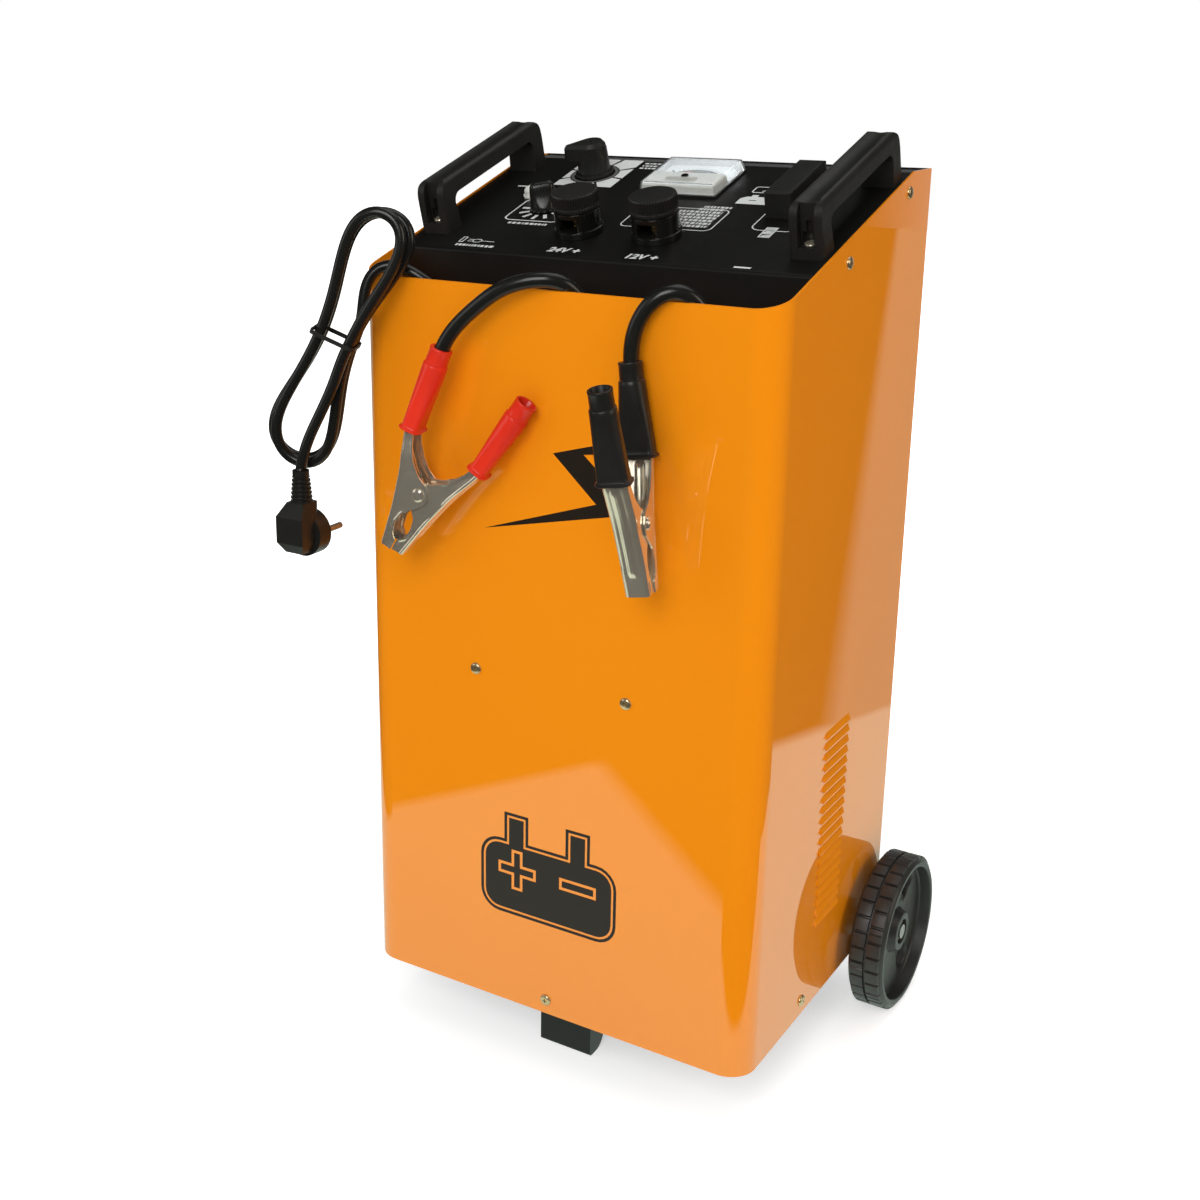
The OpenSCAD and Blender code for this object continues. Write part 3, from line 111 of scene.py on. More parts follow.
def make_camera():
    back = Vector((math.sin(VIEW_AZ) * math.cos(VIEW_EL), -math.cos(VIEW_AZ) * math.cos(VIEW_EL), math.sin(VIEW_EL)))
    right = Vector((math.cos(VIEW_AZ), math.sin(VIEW_AZ), 0))
    turned = Matrix((right, back.cross(right), back)).transposed().to_4x4()
    turned.translation = EYE
    data = bpy.data.cameras.new("camera")
    data.sensor_width = SENSOR_MM
    data.lens = FOCAL_PX / IMAGE_PX * SENSOR_MM
    data.shift_x = (IMAGE_PX / 2 - CENTRE_PX[0]) / IMAGE_PX
    data.shift_y = (CENTRE_PX[1] - IMAGE_PX / 2) / IMAGE_PX
    data.clip_start = 0.05
    data.clip_end = 50
    camera = linked("camera", data)
    camera.matrix_world = turned
    bpy.context.scene.camera = camera


make_camera()


# ---- Materials
def node_adder(tree):
    """A function that adds a node to a tree, its settings and inputs given by name."""
    def add(kind, **settings):
        node = tree.nodes.new(kind)
        for key, value in settings.items():
            if isinstance(value, bpy.types.NodeSocket):
                tree.links.new(value, node.inputs[key])
            elif key in node.inputs:
                node.inputs[key].default_value = value
            else:
                setattr(node, key, value)
        return node

    return add


def new_material(name):
    """A material with its node tree, its principled shader and a function that adds linked nodes."""
    material = bpy.data.materials.new(name)
    material.use_nodes = True
    tree = material.node_tree
    return material, tree.nodes["Principled BSDF"], node_adder(tree), tree.links


def object_coordinates(add):
    return add("ShaderNodeTexCoord").outputs["Object"]


def noise(add, scale, detail=3.0, roughness=0.5):
    node = add("ShaderNodeTexNoise", Vector=object_coordinates(add), Scale=scale, Detail=detail, Roughness=roughness)
    return node.outputs["Fac"]


def spread(add, value, low, high, to_low, to_high):
    node = add("ShaderNodeMapRange", Value=value)
    for key, number in (("From Min", low), ("From Max", high), ("To Min", to_low), ("To Max", to_high)):
        node.inputs[key].default_value = number
    return node.outputs["Result"]


def tint(add, factor, first, second):
    node = add("ShaderNodeMix", data_type="RGBA")
    links = factor.id_data.links
    links.new(factor, node.inputs[0])
    node.inputs[6].default_value = (*first, 1)
    node.inputs[7].default_value = (*second, 1)
    return node.outputs[2]


def bump(add, height, strength, distance):
    node = add("ShaderNodeBump", Strength=strength, Distance=distance, Height=height)
    return node.outputs["Normal"]


def surface(name, first, second, roughness, rough_span=0.06, tone_scale=8.0, grain_scale=900.0, grain=0.00004,
            metallic=0.0, coat=0.0, coat_roughness=0.05, coat_ior=1.5, specular=0.5):
    """A surface with soft changes of tone and gloss and a fine grain, all by noise in the piece's own space."""
    material, shader, add, links = new_material(name)
    tone = noise(add, tone_scale)
    links.new(tint(add, spread(add, tone, 0.35, 0.65, 0, 1), first, second), shader.inputs["Base Color"])
    gloss = noise(add, tone_scale * 6, 5.0, 0.6)
    links.new(spread(add, gloss, 0.3, 0.7, roughness - rough_span, roughness + rough_span), shader.inputs["Roughness"])
    if grain:
        links.new(bump(add, noise(add, grain_scale, 2.0), 0.5, grain), shader.inputs["Normal"])
    for key, value in (("Metallic", metallic), ("Coat Weight", coat), ("Coat Roughness", coat_roughness),
                       ("Coat IOR", coat_ior), ("Specular IOR Level", specular)):
        shader.inputs[key].default_value = value
    return material


orange_paint = surface("orange_paint", (0.93, 0.286, 0.005), (0.91, 0.275, 0.0045), 0.45, 0.03, 3.0, 120.0, 0.00001,
                       coat=1.0, coat_roughness=0.012, coat_ior=1.8, specular=0.04)
black_paint = surface("black_paint", (0.0050, 0.0048, 0.0040), (0.0070, 0.0067, 0.0057), 0.38, 0.03, 6.0, 1500.0,
                      0.00003, specular=0.3)
black_plastic = surface("black_plastic", (0.0110, 0.0107, 0.0090), (0.0155, 0.0150, 0.0128), 0.42, 0.05, 20.0, 1100.0,
                        0.00004, specular=0.4)
satin_black = surface("satin_black", (0.008, 0.008, 0.007), (0.012, 0.012, 0.010), 0.27, 0.05, 30.0, 600.0, 0.00001)
glossy_black = surface("glossy_black", (0.006, 0.006, 0.005), (0.009, 0.009, 0.008), 0.14, 0.04, 30.0, 600.0, 0.00002)
wheel_plastic = surface("wheel_plastic", (0.021, 0.021, 0.019), (0.030, 0.030, 0.027), 0.42, 0.06, 25.0, 900.0, 0.00004)
cord_sheath = surface("cord_sheath", (0.009, 0.009, 0.0075), (0.012, 0.012, 0.010), 0.24, 0.03, 6.0, 500.0, 0.000008)
rubber = surface("rubber", (0.010, 0.010, 0.008), (0.016, 0.015, 0.013), 0.36, 0.07, 18.0, 500.0, 0.00002, specular=0.4)
red_sleeve = surface("red_sleeve", (0.76, 0.030, 0.010), (0.68, 0.024, 0.008), 0.22, 0.05, 22.0, 300.0, 0.000008,
                     specular=0.4)
zinc = surface("zinc", (0.88, 0.80, 0.64), (0.78, 0.70, 0.54), 0.22, 0.04, 9.0, 120.0, 0.0, metallic=0.83)
dull_steel = surface("dull_steel", (0.42, 0.42, 0.41), (0.34, 0.34, 0.33), 0.38, 0.08, 30.0, 500.0, 0.00004,
                     metallic=0.9)
brass = surface("brass", (0.78, 0.55, 0.24), (0.70, 0.48, 0.20), 0.25, 0.08, 60.0, 800.0, 0.00002, metallic=0.9)
gilt_zinc = surface("gilt_zinc", (0.74, 0.58, 0.33), (0.62, 0.47, 0.26), 0.24, 0.06, 60.0, 600.0, 0.00002,
                    metallic=0.85)
copper = surface("copper", (0.45, 0.16, 0.07), (0.36, 0.12, 0.05), 0.35, 0.08, 30.0, 400.0, 0.0002)
white_print = surface("white_print", (0.74, 0.76, 0.74), (0.62, 0.64, 0.62), 0.45, 0.05, 60.0, 900.0, 0.00001)
grey_print = surface("grey_print", (0.16, 0.16, 0.15), (0.11, 0.11, 0.10), 0.35, 0.05, 60.0, 900.0, 0.00001)
black_print = surface("black_print", (0.016, 0.011, 0.008), (0.022, 0.016, 0.011), 0.40, 0.04, 30.0, 700.0, 0.00001,
                      coat=0.4, coat_roughness=0.04, coat_ior=1.5, specular=0.1)
blue_print = surface("blue_print", (0.20, 0.42, 0.50), (0.16, 0.36, 0.45), 0.4, 0.04, 60.0, 900.0, 0.0)
red_print = surface("red_print", (0.55, 0.12, 0.08), (0.50, 0.10, 0.07), 0.4, 0.04, 60.0, 900.0, 0.0)
dial_paint = surface("dial_paint", (0.93, 0.95, 0.96), (0.89, 0.92, 0.93), 0.4, 0.04, 30.0, 500.0, 0.0)


def clear_plastic(name, colour, roughness, transmission):
    material, shader, add, links = new_material(name)
    shader.inputs["Base Color"].default_value = (*colour, 1)
    shader.inputs["Transmission Weight"].default_value = transmission
    shader.inputs["IOR"].default_value = 1.49
    gloss = noise(add, 60.0)
    links.new(spread(add, gloss, 0.3, 0.7, max(roughness - 0.02, 0.0), roughness + 0.03), shader.inputs["Roughness"])
    return material


clear_cover = clear_plastic("clear_cover", (0.93, 0.96, 0.97), 0.02, 0.9)
frosted_cover = clear_plastic("frosted_cover", (0.88, 0.88, 0.84), 0.25, 0.2)
milky_plastic = clear_plastic("milky_plastic", (0.66, 0.65, 0.59), 0.35, 0.35)

MATERIAL_OF = {
    orange_paint: ["housing_wrap"],
    black_paint: ["control_panel", "cable_bin", "rear_cover", "base_plate", "front_foot"],
    black_plastic: ["left_handle", "right_handle", "selector_knob", "meter_case", "fuse_base", "fuse_cover",
                    "thermal_cutout", "negative_gland", "hank_tie"],
    glossy_black: ["meter_pointer", "terminal_bases"],
    rubber: ["mains_plug"],
    zinc: ["clamp_rivets", "clamp_springs", "handle_screws", "axle_spacers", "axle_clips", "red_lug", "fuse_link"],
    dull_steel: ["plug_pins", "axle", "transformer_core", "transformer_brackets", "rectifier_plate", "selector_switch",
                 "start_switch"],
    brass: ["terminal_studs", "rectifier_diodes"],
    copper: ["primary_winding", "secondary_winding"],
    frosted_cover: ["pilot_lamp"],
    dial_paint: ["meter_dial"],
}


def dress(thing, material):
    thing.data.materials.clear()
    thing.data.materials.append(material)


for material, names in MATERIAL_OF.items():
    for name in names:
        dress(frame["nodes"][name], material)


def soften(name, width, segments=2, angle=32):
    """Round the sharp edges of a CAD node by a width in millimetres; the node itself stays as it is."""
    node = frame["nodes"][name]
    weld = node.modifiers.new("weld", "WELD")
    weld.merge_threshold = 0.00001
    bevel = node.modifiers.new("round", "BEVEL")
    bevel.width = width * MM
    bevel.segments = segments
    bevel.limit_method = "ANGLE"
    bevel.angle_limit = math.radians(angle)
    bevel.use_clamp_overlap = True
    bevel.miter_outer = "MITER_ARC"
    normals = node.modifiers.new("normals", "WEIGHTED_NORMAL")
    normals.keep_sharp = False


SOFT_EDGES = {2.2: ["left_handle", "right_handle"], 1.2: ["fuse_cover"], 1.0: ["selector_knob", "mains_plug"],
              0.8: ["front_foot"], 0.45: ["terminal_bases", "control_panel", "cable_bin"],
              0.35: ["meter_case", "plug_pins"]}
for width, names in SOFT_EDGES.items():
    for name in names:
        soften(name, width, 4 if width > 2 else 2)


# ---- Cords: smooth tubes through the same points as the part's
MAINS_D = 8.3
LEAD_D = 11


def smooth_line(points, steps):
    """Points on a smooth curve through the given ones."""
    ends = [2 * points[0] - points[1], *points, 2 * points[-1] - points[-2]]
    line = []
    for a, b, c, d in zip(ends, ends[1:], ends[2:], ends[3:]):
        for i in range(steps):
            t = i / steps
            line.append(0.5 * (2 * b + t * (c - a) + t * t * (2 * a - 5 * b + 4 * c - d)
                               + t * t * t * (3 * b - a - 3 * c + d)))
    return line + [points[-1]]


def length_of(line):
    return sum((b - a).length for a, b in zip(line, line[1:]))


def evened(line, step):
    """The same line through points an even step apart."""
    total = length_of(line)
    count = max(2, round(total / step))
    spaced = [line[0]]
    way, target = 0.0, total / count
    for a, b in zip(line, line[1:]):
        span = (b - a).length
        while len(spaced) < count and way + span >= target * len(spaced):
            spaced.append(a.lerp(b, (target * len(spaced) - way) / span))
        way += span
    return spaced + [line[-1]]


def eased(line, rounds):
    """The line with its small kinks eased out, its two ends kept."""
    for _ in range(rounds):
        line = line[:2] + [(a + 2 * b + c) / 4 for a, b, c in zip(line[1:], line[2:], line[3:])] + line[-2:]
    return line


CORD_STEP = 3
CORD_EASING = 14


def cord_curve(name, points, diameter, material, steps=6):
    line = eased(evened(smooth_line([world(*p) for p in points], steps), CORD_STEP * MM), CORD_EASING)
    data = bpy.data.curves.new(name, "CURVE")
    data.dimensions = "3D"
    data.bevel_depth = diameter * MM / 2
    data.bevel_resolution = 6
    data.use_fill_caps = True
    spline = data.splines.new("POLY")
    spline.points.add(len(line) - 1)
    for point, place in zip(spline.points, line):
        point.co = (*place, 1)
    spline.use_smooth = True
    cord = linked(name, data)
    dress(cord, material)
    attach(cord, ROOT)
    return cord, line


MAINS_ROUTE = [
    (-95, 42.5, 545), (-95, 34, 545), (-96.5, 25, 547.5), (-101, 17, 552.5), (-109, 11, 560), (-119, 7, 567),
    (-130, 4, 572.5), (-140, 0.5, 574), (-149, -4, 570), (-153.5, -7.5, 561), (-155, -9.5, 550), (-155, -10.8, 541)]
HANK_AT = (-171.5, -19, 521.5)
HANK_TURN = math.radians(25)
HANK_LEAN = math.radians(24)
HANK_HALF = 100
HANK_WAIST = 12
HANK_BULGE = 43
HANK_BOW = 6
HANK_SWAY = 3
HANK_NARROW = 5
HANK_LOOPS = 2
HANK_PITCH = 9.4
HANK_STEPS = 24
CLIMB_FROM, CLIMB_TO = 200, 310
TAIL_ROUTE = [(11.4, -11, 2), (12.6, -24, 2), (13, -38, 2.1), (12.6, -53, 2.2), (11.9, -67, 2.3),
              (11.8, -80, 2.35), (13.3, -90.5, 2.35), (15.4, -99.7, 2.35)]


def hank_world(across, along, out):
    b = across * math.cos(HANK_LEAN) + along * math.sin(HANK_LEAN)
    z = along * math.cos(HANK_LEAN) - across * math.sin(HANK_LEAN)
    return (HANK_AT[0] + b * math.cos(HANK_TURN) + out * math.sin(HANK_TURN),
            HANK_AT[1] + b * math.sin(HANK_TURN) - out * math.cos(HANK_TURN), HANK_AT[2] + z)


def hank_climb(turned):
    done = math.floor(turned / 360)
    return done + max(0, min(1, (turned - 360 * done - CLIMB_FROM) / (CLIMB_TO - CLIMB_FROM)))


def hank_point(turned):
    angle = math.radians(turned + 90)
    near_end = math.cos(angle) ** 2
    drawn_in = HANK_NARROW * hank_climb(turned)
    across = math.sin(angle) * (HANK_WAIST + (HANK_BULGE - drawn_in) * near_end)
    across += (HANK_BOW + (HANK_SWAY - drawn_in) * math.cos(angle)) * near_end
    return hank_world(across, HANK_HALF * math.cos(angle), HANK_PITCH * hank_climb(turned))


def mains_points():
    hank = [hank_world(HANK_WAIST, MAINS_D, 0)]
    hank += [hank_point(360 * i / HANK_STEPS) for i in range(HANK_STEPS * HANK_LOOPS + 1)]
    hank += [hank_world(c, a, n * HANK_PITCH) for c, a, n in TAIL_ROUTE]
    join = tuple(2 * p - q for p, q in zip(hank[0], hank[1]))
    return MAINS_ROUTE + [join] + hank


mains_cord, mains_line = cord_curve("mains_cord", mains_points(), MAINS_D, cord_sheath)
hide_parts("mains_lead", "mains_hank")

COIL_R = 65
COIL_Z = BIN_Z + COIL_R + LEAD_D / 2 + 0.5
COIL_PITCH = 12
COIL_STEPS = 24
END_L = 0.6 * LEAD_D


def coil(x, y, start, turns, pitch):
    """A standing coil from a start angle, counted from the right and seen from the front."""
    way = math.copysign(1, turns)
    stop = start + 360 * turns

    def spot(angle, depth, ahead=0.0):
        a = math.radians(angle)
        return (x + COIL_R * math.cos(a) - ahead * math.sin(a), depth,
                COIL_Z + COIL_R * math.sin(a) + ahead * math.cos(a))

    count = round(COIL_STEPS * abs(turns))
    turned = [spot(start + way * 360 * i / COIL_STEPS, y + pitch * i / COIL_STEPS) for i in range(count + 1)]
    return [spot(start, y, -way * END_L), *turned, spot(stop, y + pitch * abs(turns), way * END_L)]


RED_COIL = coil(-51, 48, 0, -2.75, -COIL_PITCH)
BLACK_COIL = coil(94, 10, 180, 2.5, COIL_PITCH)
RED_ROUTE = [
    (14, 48, 376), (14, 48, 398), (16, 46, 430), (18.5, 42, 462), (20.5, 37, 492), (20.5, 31, 517), (18.5, 24, 538),
    (15, 16, 556), (10, 8, 567.6), (3, 0, 573), (-11, -7, 572.8), (-33, -13.5, 566), (-57, -17.5, 547.5),
    (-70.5, -20.5, 533.5), (-76.8, -22.3, 521.8), (-82, -23.4, 508.8)]
BLACK_ROUTE = [
    (159, 40, 376), (159, 39.5, 389), (156, 37, 412), (150.5, 33.5, 436), (144, 29, 461), (137, 24.5, 485),
    (129.5, 21, 507), (122, 18, 526), (115, 15, 543), (109, 11.5, 558), (102.5, 6, 569.4), (93.5, -1, 573.5),
    (82.5, -6, 568.5), (72.5, -8.8, 556), (67.3, -9.6, 540.5), (66.8, -9.7, 525), (68, -9.9, 511.1)]
BLACK_TAIL = [
    (111, 46.5, 535), (111, 39, 535), (110.5, 31, 530), (106, 25, 517), (99, 21, 501), (88, 17.5, 483),
    (75, 14.5, 464), (61, 12, 444), (46, 10.5, 421), (34.5, 10, 399), (29.5, 10, 381), (29, 10, 376)]

positive_lead, positive_line = cord_curve("positive_lead", RED_COIL[::-1] + RED_ROUTE, LEAD_D, cord_sheath)
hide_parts("red_lead", "red_coil")
negative_lead, negative_line = cord_curve("negative_lead", BLACK_TAIL + BLACK_COIL + BLACK_ROUTE, LEAD_D, cord_sheath)
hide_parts("black_lead", "black_coil")


# ---- Fine pieces
def piece(name, data, material, slot, body, *stands_for, place=None):
    """A mesh or curve as a piece of the object, in the place of the CAD nodes named last."""
    thing = linked(name, data)
    if place is not None:
        thing.matrix_world = place
    dress(thing, material)
    if stands_for:
        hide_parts(*stands_for)
    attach(thing, body)
    return thing


def smooth_mesh(name, shape, sharp=35):
    """A mesh from a bmesh, smooth but for edges sharper than an angle."""
    mesh = bpy.data.meshes.new(name)
    shape.to_mesh(mesh)
    shape.free()
    mesh.shade_smooth()
    mesh.set_sharp_from_angle(angle=math.radians(sharp))
    return mesh


def finish_mesh(name, shape, place=None, sharp=35):
    """A smooth mesh from a bmesh, moved to its place with its faces turned outward."""
    if place is not None:
        bmesh.ops.transform(shape, matrix=place, verts=shape.verts)
    bmesh.ops.recalc_face_normals(shape, faces=shape.faces)
    return smooth_mesh(name, shape, sharp)


def skin(shape, rings):
    """Faces between rings of vertices that have the same count."""
    for lower, upper in zip(rings, rings[1:]):
        count = len(lower)
        for i in range(count):
            j = (i + 1) % count
            shape.faces.new((lower[i], lower[j], upper[j], upper[i]))


def capped(shape, rings):
    """Faces between rings, with the first and last ring filled."""
    skin(shape, rings)
    shape.faces.new(rings[0][::-1])
    shape.faces.new(rings[-1])


def turned(name, profile, segments, place=None, sharp=35, shaping=None, bored=False):
    """A turned body from its radii and heights; shaping may change a radius by angle and height.

    A bored body's last ring joins its first; any other body is closed at both ends.
    """
    shape = bmesh.new()
    angles = [2 * math.pi * i / segments for i in range(segments)]
    rings = [[shape.verts.new((*polar(shaping(r, z, a) if shaping else r, a), z)) for a in angles] for r, z in profile]
    if bored:
        skin(shape, rings + rings[:1])
    else:
        capped(shape, rings)
    return finish_mesh(name, shape, place, sharp)


CAP_BASE = 19
CAP_RIBS = 54
CAP_PROFILE = [(12.5, 0), (16.2, 0), (17.0, 0.5), (17.2, 1.2), (17.2, 2.2), (17.5, 2.6), (17.5, 3.4), (17.5, 6),
               (17.5, 9), (17.5, 11.4), (17.35, 12.1), (16.9, 12.6), (16.3, 12.9), (15.6, 13), (6, 13), (2, 13)]
RIB_FROM, RIB_TO, RIB_DEEP = 2.8, 12.95, 1.0
POST_S = 46
POST_X = {"24v": -36, "12v": 28}


def ribbed(r, z, angle):
    if not RIB_FROM < z < RIB_TO:
        return r
    return r - RIB_DEEP * (0.5 - 0.5 * math.cos(CAP_RIBS * angle)) ** 0.7


for mark, x in POST_X.items():
    mesh = turned("cap_" + mark, CAP_PROFILE, CAP_RIBS * 6, on_panel(x, POST_S, CAP_BASE), 30, ribbed)
    piece("cap_" + mark, mesh, black_plastic, "knob_plastic", "cap_" + mark, "terminal_cap_" + mark)


def cut_out(thing, cutters, crossed=False):
    """Take the cutters' shapes out of a piece, and drop the cutters; crossed ones run through themselves."""
    for cutter in cutters:
        cut = thing.modifiers.new(cutter.name, "BOOLEAN")
        cut.operation = "DIFFERENCE"
        cut.solver = "EXACT"
        cut.use_self = crossed
        cut.object = cutter
    bpy.context.view_layer.update()
    mesh = bpy.data.meshes.new_from_object(thing.evaluated_get(bpy.context.evaluated_depsgraph_get()))
    thing.modifiers.clear()
    thing.data = mesh
    for cutter in cutters:
        bpy.data.objects.remove(cutter)


# Wheels: two staggered rows of tread blocks, a rim, a deep web with three pockets and a raised hub
WHEEL_W = 29
WHEEL_X = BODY_W / 2 + 9.5
AXLE_Y, AXLE_Z = BODY_D - 28, 16
BLOCKS = 32
BLOCK_DEEP = 2.2
BLOCK_GROOVE = 0.14
BLOCK_SLOT = (0.5, 0.57)
SLOT_DEEP = 0.8
WHEEL_PROFILE = [(6.1, 0), (15, 0), (15.4, 0.8), (15.6, 7.2), (16.4, 8), (54.4, 8), (55.4, 7), (55.2, 2), (56.2, 0.6),
                 (58, 0), (60, 0), (62, 1.2), (62.8, 2.3), (64.9, 2.9), (65, 3.4), (65, 8), (65, 13), (64.8, 13.5),
                 (62.8, 13.7),
                 (62.8, 15.3), (64.8, 15.5), (65, 16), (65, 21), (65, 25.6), (64.9, 26.1), (62.8, 26.7), (62, 27.8),
                 (60, 29), (58, 29), (57, 28.8), (56.3, 28.2), (56, 27), (55, 20.4), (54, 19.2), (52, 18.8), (21, 17.1),
                 (19.6, 17.3), (18.6, 18.2), (16.6, 22.8), (15.8, 23.7), (14.8, 24), (11.2, 24), (10.6, 23.7),
                 (10.4, 23), (10.4, 20.2), (6.1, 20.2)]
POCKET_AT = 40
POCKETS = ([(10, 14), (10.6, 14.3), (11, 15), (11, 30)], [(9, -1), (9, 11)])


def blocky(r, z, angle):
    """The tread's radius at an angle: a groove between two blocks and a fine slot across each."""
    if r < 64:
        return r
    share = (angle / (2 * math.pi) * BLOCKS + (0.5 if z > WHEEL_W / 2 else 0)) % 1
    if share < BLOCK_GROOVE:
        return r - BLOCK_DEEP
    if BLOCK_SLOT[0] < share < BLOCK_SLOT[1]:
        return r - SLOT_DEEP
    return r


for side, sign in (("left", -1), ("right", 1)):
    place = at(sign * WHEEL_X, AXLE_Y, AXLE_Z) @ Matrix.Rotation(sign * math.pi / 2, 4, "Y")
    mesh = turned(side + "_tyre", WHEEL_PROFILE, BLOCKS * 14, place, 28, blocky, bored=True)
    wheel = piece(side + "_tyre", mesh, wheel_plastic, "wheel_rubber", side + "_wheel", side + "_wheel")
    pockets = []
    for i in range(3):
        spot = place @ Matrix.Rotation(math.radians(120 * i + 30), 4, "Z") @ Matrix.Translation((POCKET_AT, 0, 0))
        pockets += [linked("pocket", turned("pocket", profile, 40, spot)) for profile in POCKETS]
    cut_out(wheel, pockets)

# Sleeves of the clamps: a flange, a body that turns from oblong to round, two moulded lines and a round end
CLAMP_W, CLAMP_T = 21, 1.4
JAW_W = CLAMP_W - 2 * CLAMP_T - 0.6
SLEEVE_FROM = (29, 0, 37)
SLEEVE_TILT = math.radians(6.6)
SLEEVE_L, NECK_L = 64.5, 12
NECK_R = 8.2
SLEEVE_A, SLEEVE_WALL = 6.5, 1.8
FLANGE_A, FLANGE_OUT = 8.5, 3.6
START_AT, START_TURN = (-87, 82), 35
CLAMPS = {"red": ((-92.1, -25.1, 415.4), (0, 28, 10.8)), "black": ((85.2, -36.1, 422.5), (7, 3.6, -76.7))}


def rounded(a, b, r, steps=10):
    """A closed outline with half sizes a and b and corners of radius r."""
    loop = []
    for i, (sx, sy) in enumerate(((1, 1), (-1, 1), (-1, -1), (1, -1))):
        for k in range(steps + 1):
            turn = math.pi / 2 * (i + k / steps)
            loop.append((sx * (a - r) + r * math.cos(turn), sy * (b - r) + r * math.sin(turn)))
    return loop


def lofted(name, levels, place, sharp=50):
    """A solid through rounded outlines, each with its half sizes, corner radius and height."""
    shape = bmesh.new()
    capped(shape, [[shape.verts.new((x, y, z)) for x, y in rounded(a, b, r)] for a, b, r, z in levels])
    return finish_mesh(name, shape, place, sharp)


def sleeve_mesh(name, width, bore, place):
    b = width / 2 + SLEEVE_WALL
    wide = width / 2 + FLANGE_OUT
    body_l = SLEEVE_L - NECK_L
    top = NECK_R + 0.9
    levels = [(SLEEVE_A - 1.4, b - 1.4, 2.4, 0.02), (FLANGE_A - 0.6, wide - 0.6, 5.4, 0), (FLANGE_A, wide, 6, 0.5),
              (FLANGE_A, wide, 6, 1.5), (FLANGE_A - 0.6, wide - 0.6, 5.4, 2), (SLEEVE_A + 0.5, b + 0.4, 4, 2.3),
              (SLEEVE_A, b, 3.5, 3)]
    for i in range(1, 19):
        share = i / 18
        turn = share * share * (3 - 2 * share)
        a, half = SLEEVE_A + (top - SLEEVE_A) * turn, b + (top - b) * share
        levels.append((a, half, min(a, half, 3.5 + (top - 3.5) * turn) - 0.001, 3 + (body_l - 4) * share))
    for r, z in ((top - 0.4, body_l - 0.4), (NECK_R, body_l), (NECK_R - 0.1, SLEEVE_L - 1.8),
                 (NECK_R + 0.2, SLEEVE_L - 1.4), (NECK_R + 0.2, SLEEVE_L - 0.5), (NECK_R - 0.3, SLEEVE_L),
                 (bore + 0.3, SLEEVE_L), (bore, SLEEVE_L - 0.3), (bore, SLEEVE_L - 26)):
        levels.append((r, r, r - 0.001, z))
    return lofted(name, levels, place)


def clamp_place(colour, mirrored):
    spot, (rx, ry, rz) = CLAMPS[colour]
    turn = (Matrix.Rotation(math.radians(rz), 4, "Z") @ Matrix.Rotation(math.radians(ry), 4, "Y")
            @ Matrix.Rotation(math.radians(rx), 4, "X"))
    return at(*spot) @ turn @ Matrix.Diagonal((-1 if mirrored else 1, 1, 1, 1))


# Clamp halves: a stamped channel whose cheeks are pressed in and whose back carries a rounded crease
CHEEK = [(-49, 0.3, 9.5), (-41, 0.3, 10.95), (-37, 4.5, 11.7), (-28, 6.3, 13.3), (-19, 4.5, 15.2), (-14, 0.3, 16.4),
         (-7, -6, 18.2), (1, -8, 20.3), (8, -4, 22.1), (12, 6, 23.6), (20, 15, 26.7), (29, 21, 30.2), (37, 24.6, 33.6),
         (60, 27.8, 35.4)]
BACK_ROUND = 3.4
CREASE_HALF, CREASE_OUT = 3.4, 1.2
CREASE_FROM, CREASE_TO = -35, 34
PRESS, PRESS_CLEAR = 0.7, 15
LEVEL_STEP = 1.5
TAPER = 4 / 34
SLIM = {"red": 2.4, "black": 0}


def ramp(value):
    value = min(max(value, 0), 1)
    return value * value * (3 - 2 * value)


def eased_share(t, low, high):
    return low + (high - low) * t


def cheek_at(z):
    """The inner and outer edge of a cheek at a height."""
    for (z0, a0, b0), (z1, a1, b1) in zip(CHEEK, CHEEK[1:]):
        if z <= z1:
            share = (z - z0) / (z1 - z0)
            return eased_share(share, a0, a1), eased_share(share, b0, b1)
    return CHEEK[-1][1:]


def clamp_section(z, width, slim):
    """The closed outline of the channel at a height: its outer face, then its inner face back."""
    inner = sum(cheek_at(z + d)[0] for d in (-0.6, 0, 0.6)) / 3
    outer = sum(cheek_at(z + d)[1] for d in (-6, -3, 0, 3, 6)) / 5
    outer = cheek_at(z)[1] if z < CHEEK[0][0] + 6 else outer
    half = width / 2 - max(0, z - 36) * TAPER - slim * ramp((z - 16) / 20)
    deep = outer - inner
    r = min(BACK_ROUND, deep * 0.45)
    crease = CREASE_OUT * ramp((z - CREASE_FROM) / 5) * ramp((CREASE_TO - z) / 5)
    faces = []
    for wall in (0, CLAMP_T):
        side = []
        for k in range(9):
            x = inner + (outer - r - inner) * k / 8
            edge = ramp((x - inner - 1) / 1.8) * ramp((outer - 1.4 - x) / 1.8)
            press = PRESS * edge * ramp((math.hypot(x, z) - PRESS_CLEAR) / 4)
            side.append((x, half - wall - press))
        for k in range(1, 7):
            turn = math.pi / 2 * k / 6
            side.append((outer - r + (r - wall) * math.sin(turn), half - r + (r - wall) * math.cos(turn)))
        for k in range(1, 9):
            y = (half - r) * (1 - k / 8)
            side.append((outer - wall + crease * ramp((CREASE_HALF - y) / 2), y))
        faces.append(side + [(x, -y) for x, y in side[-2::-1]])
    return faces[0] + faces[1][::-1]


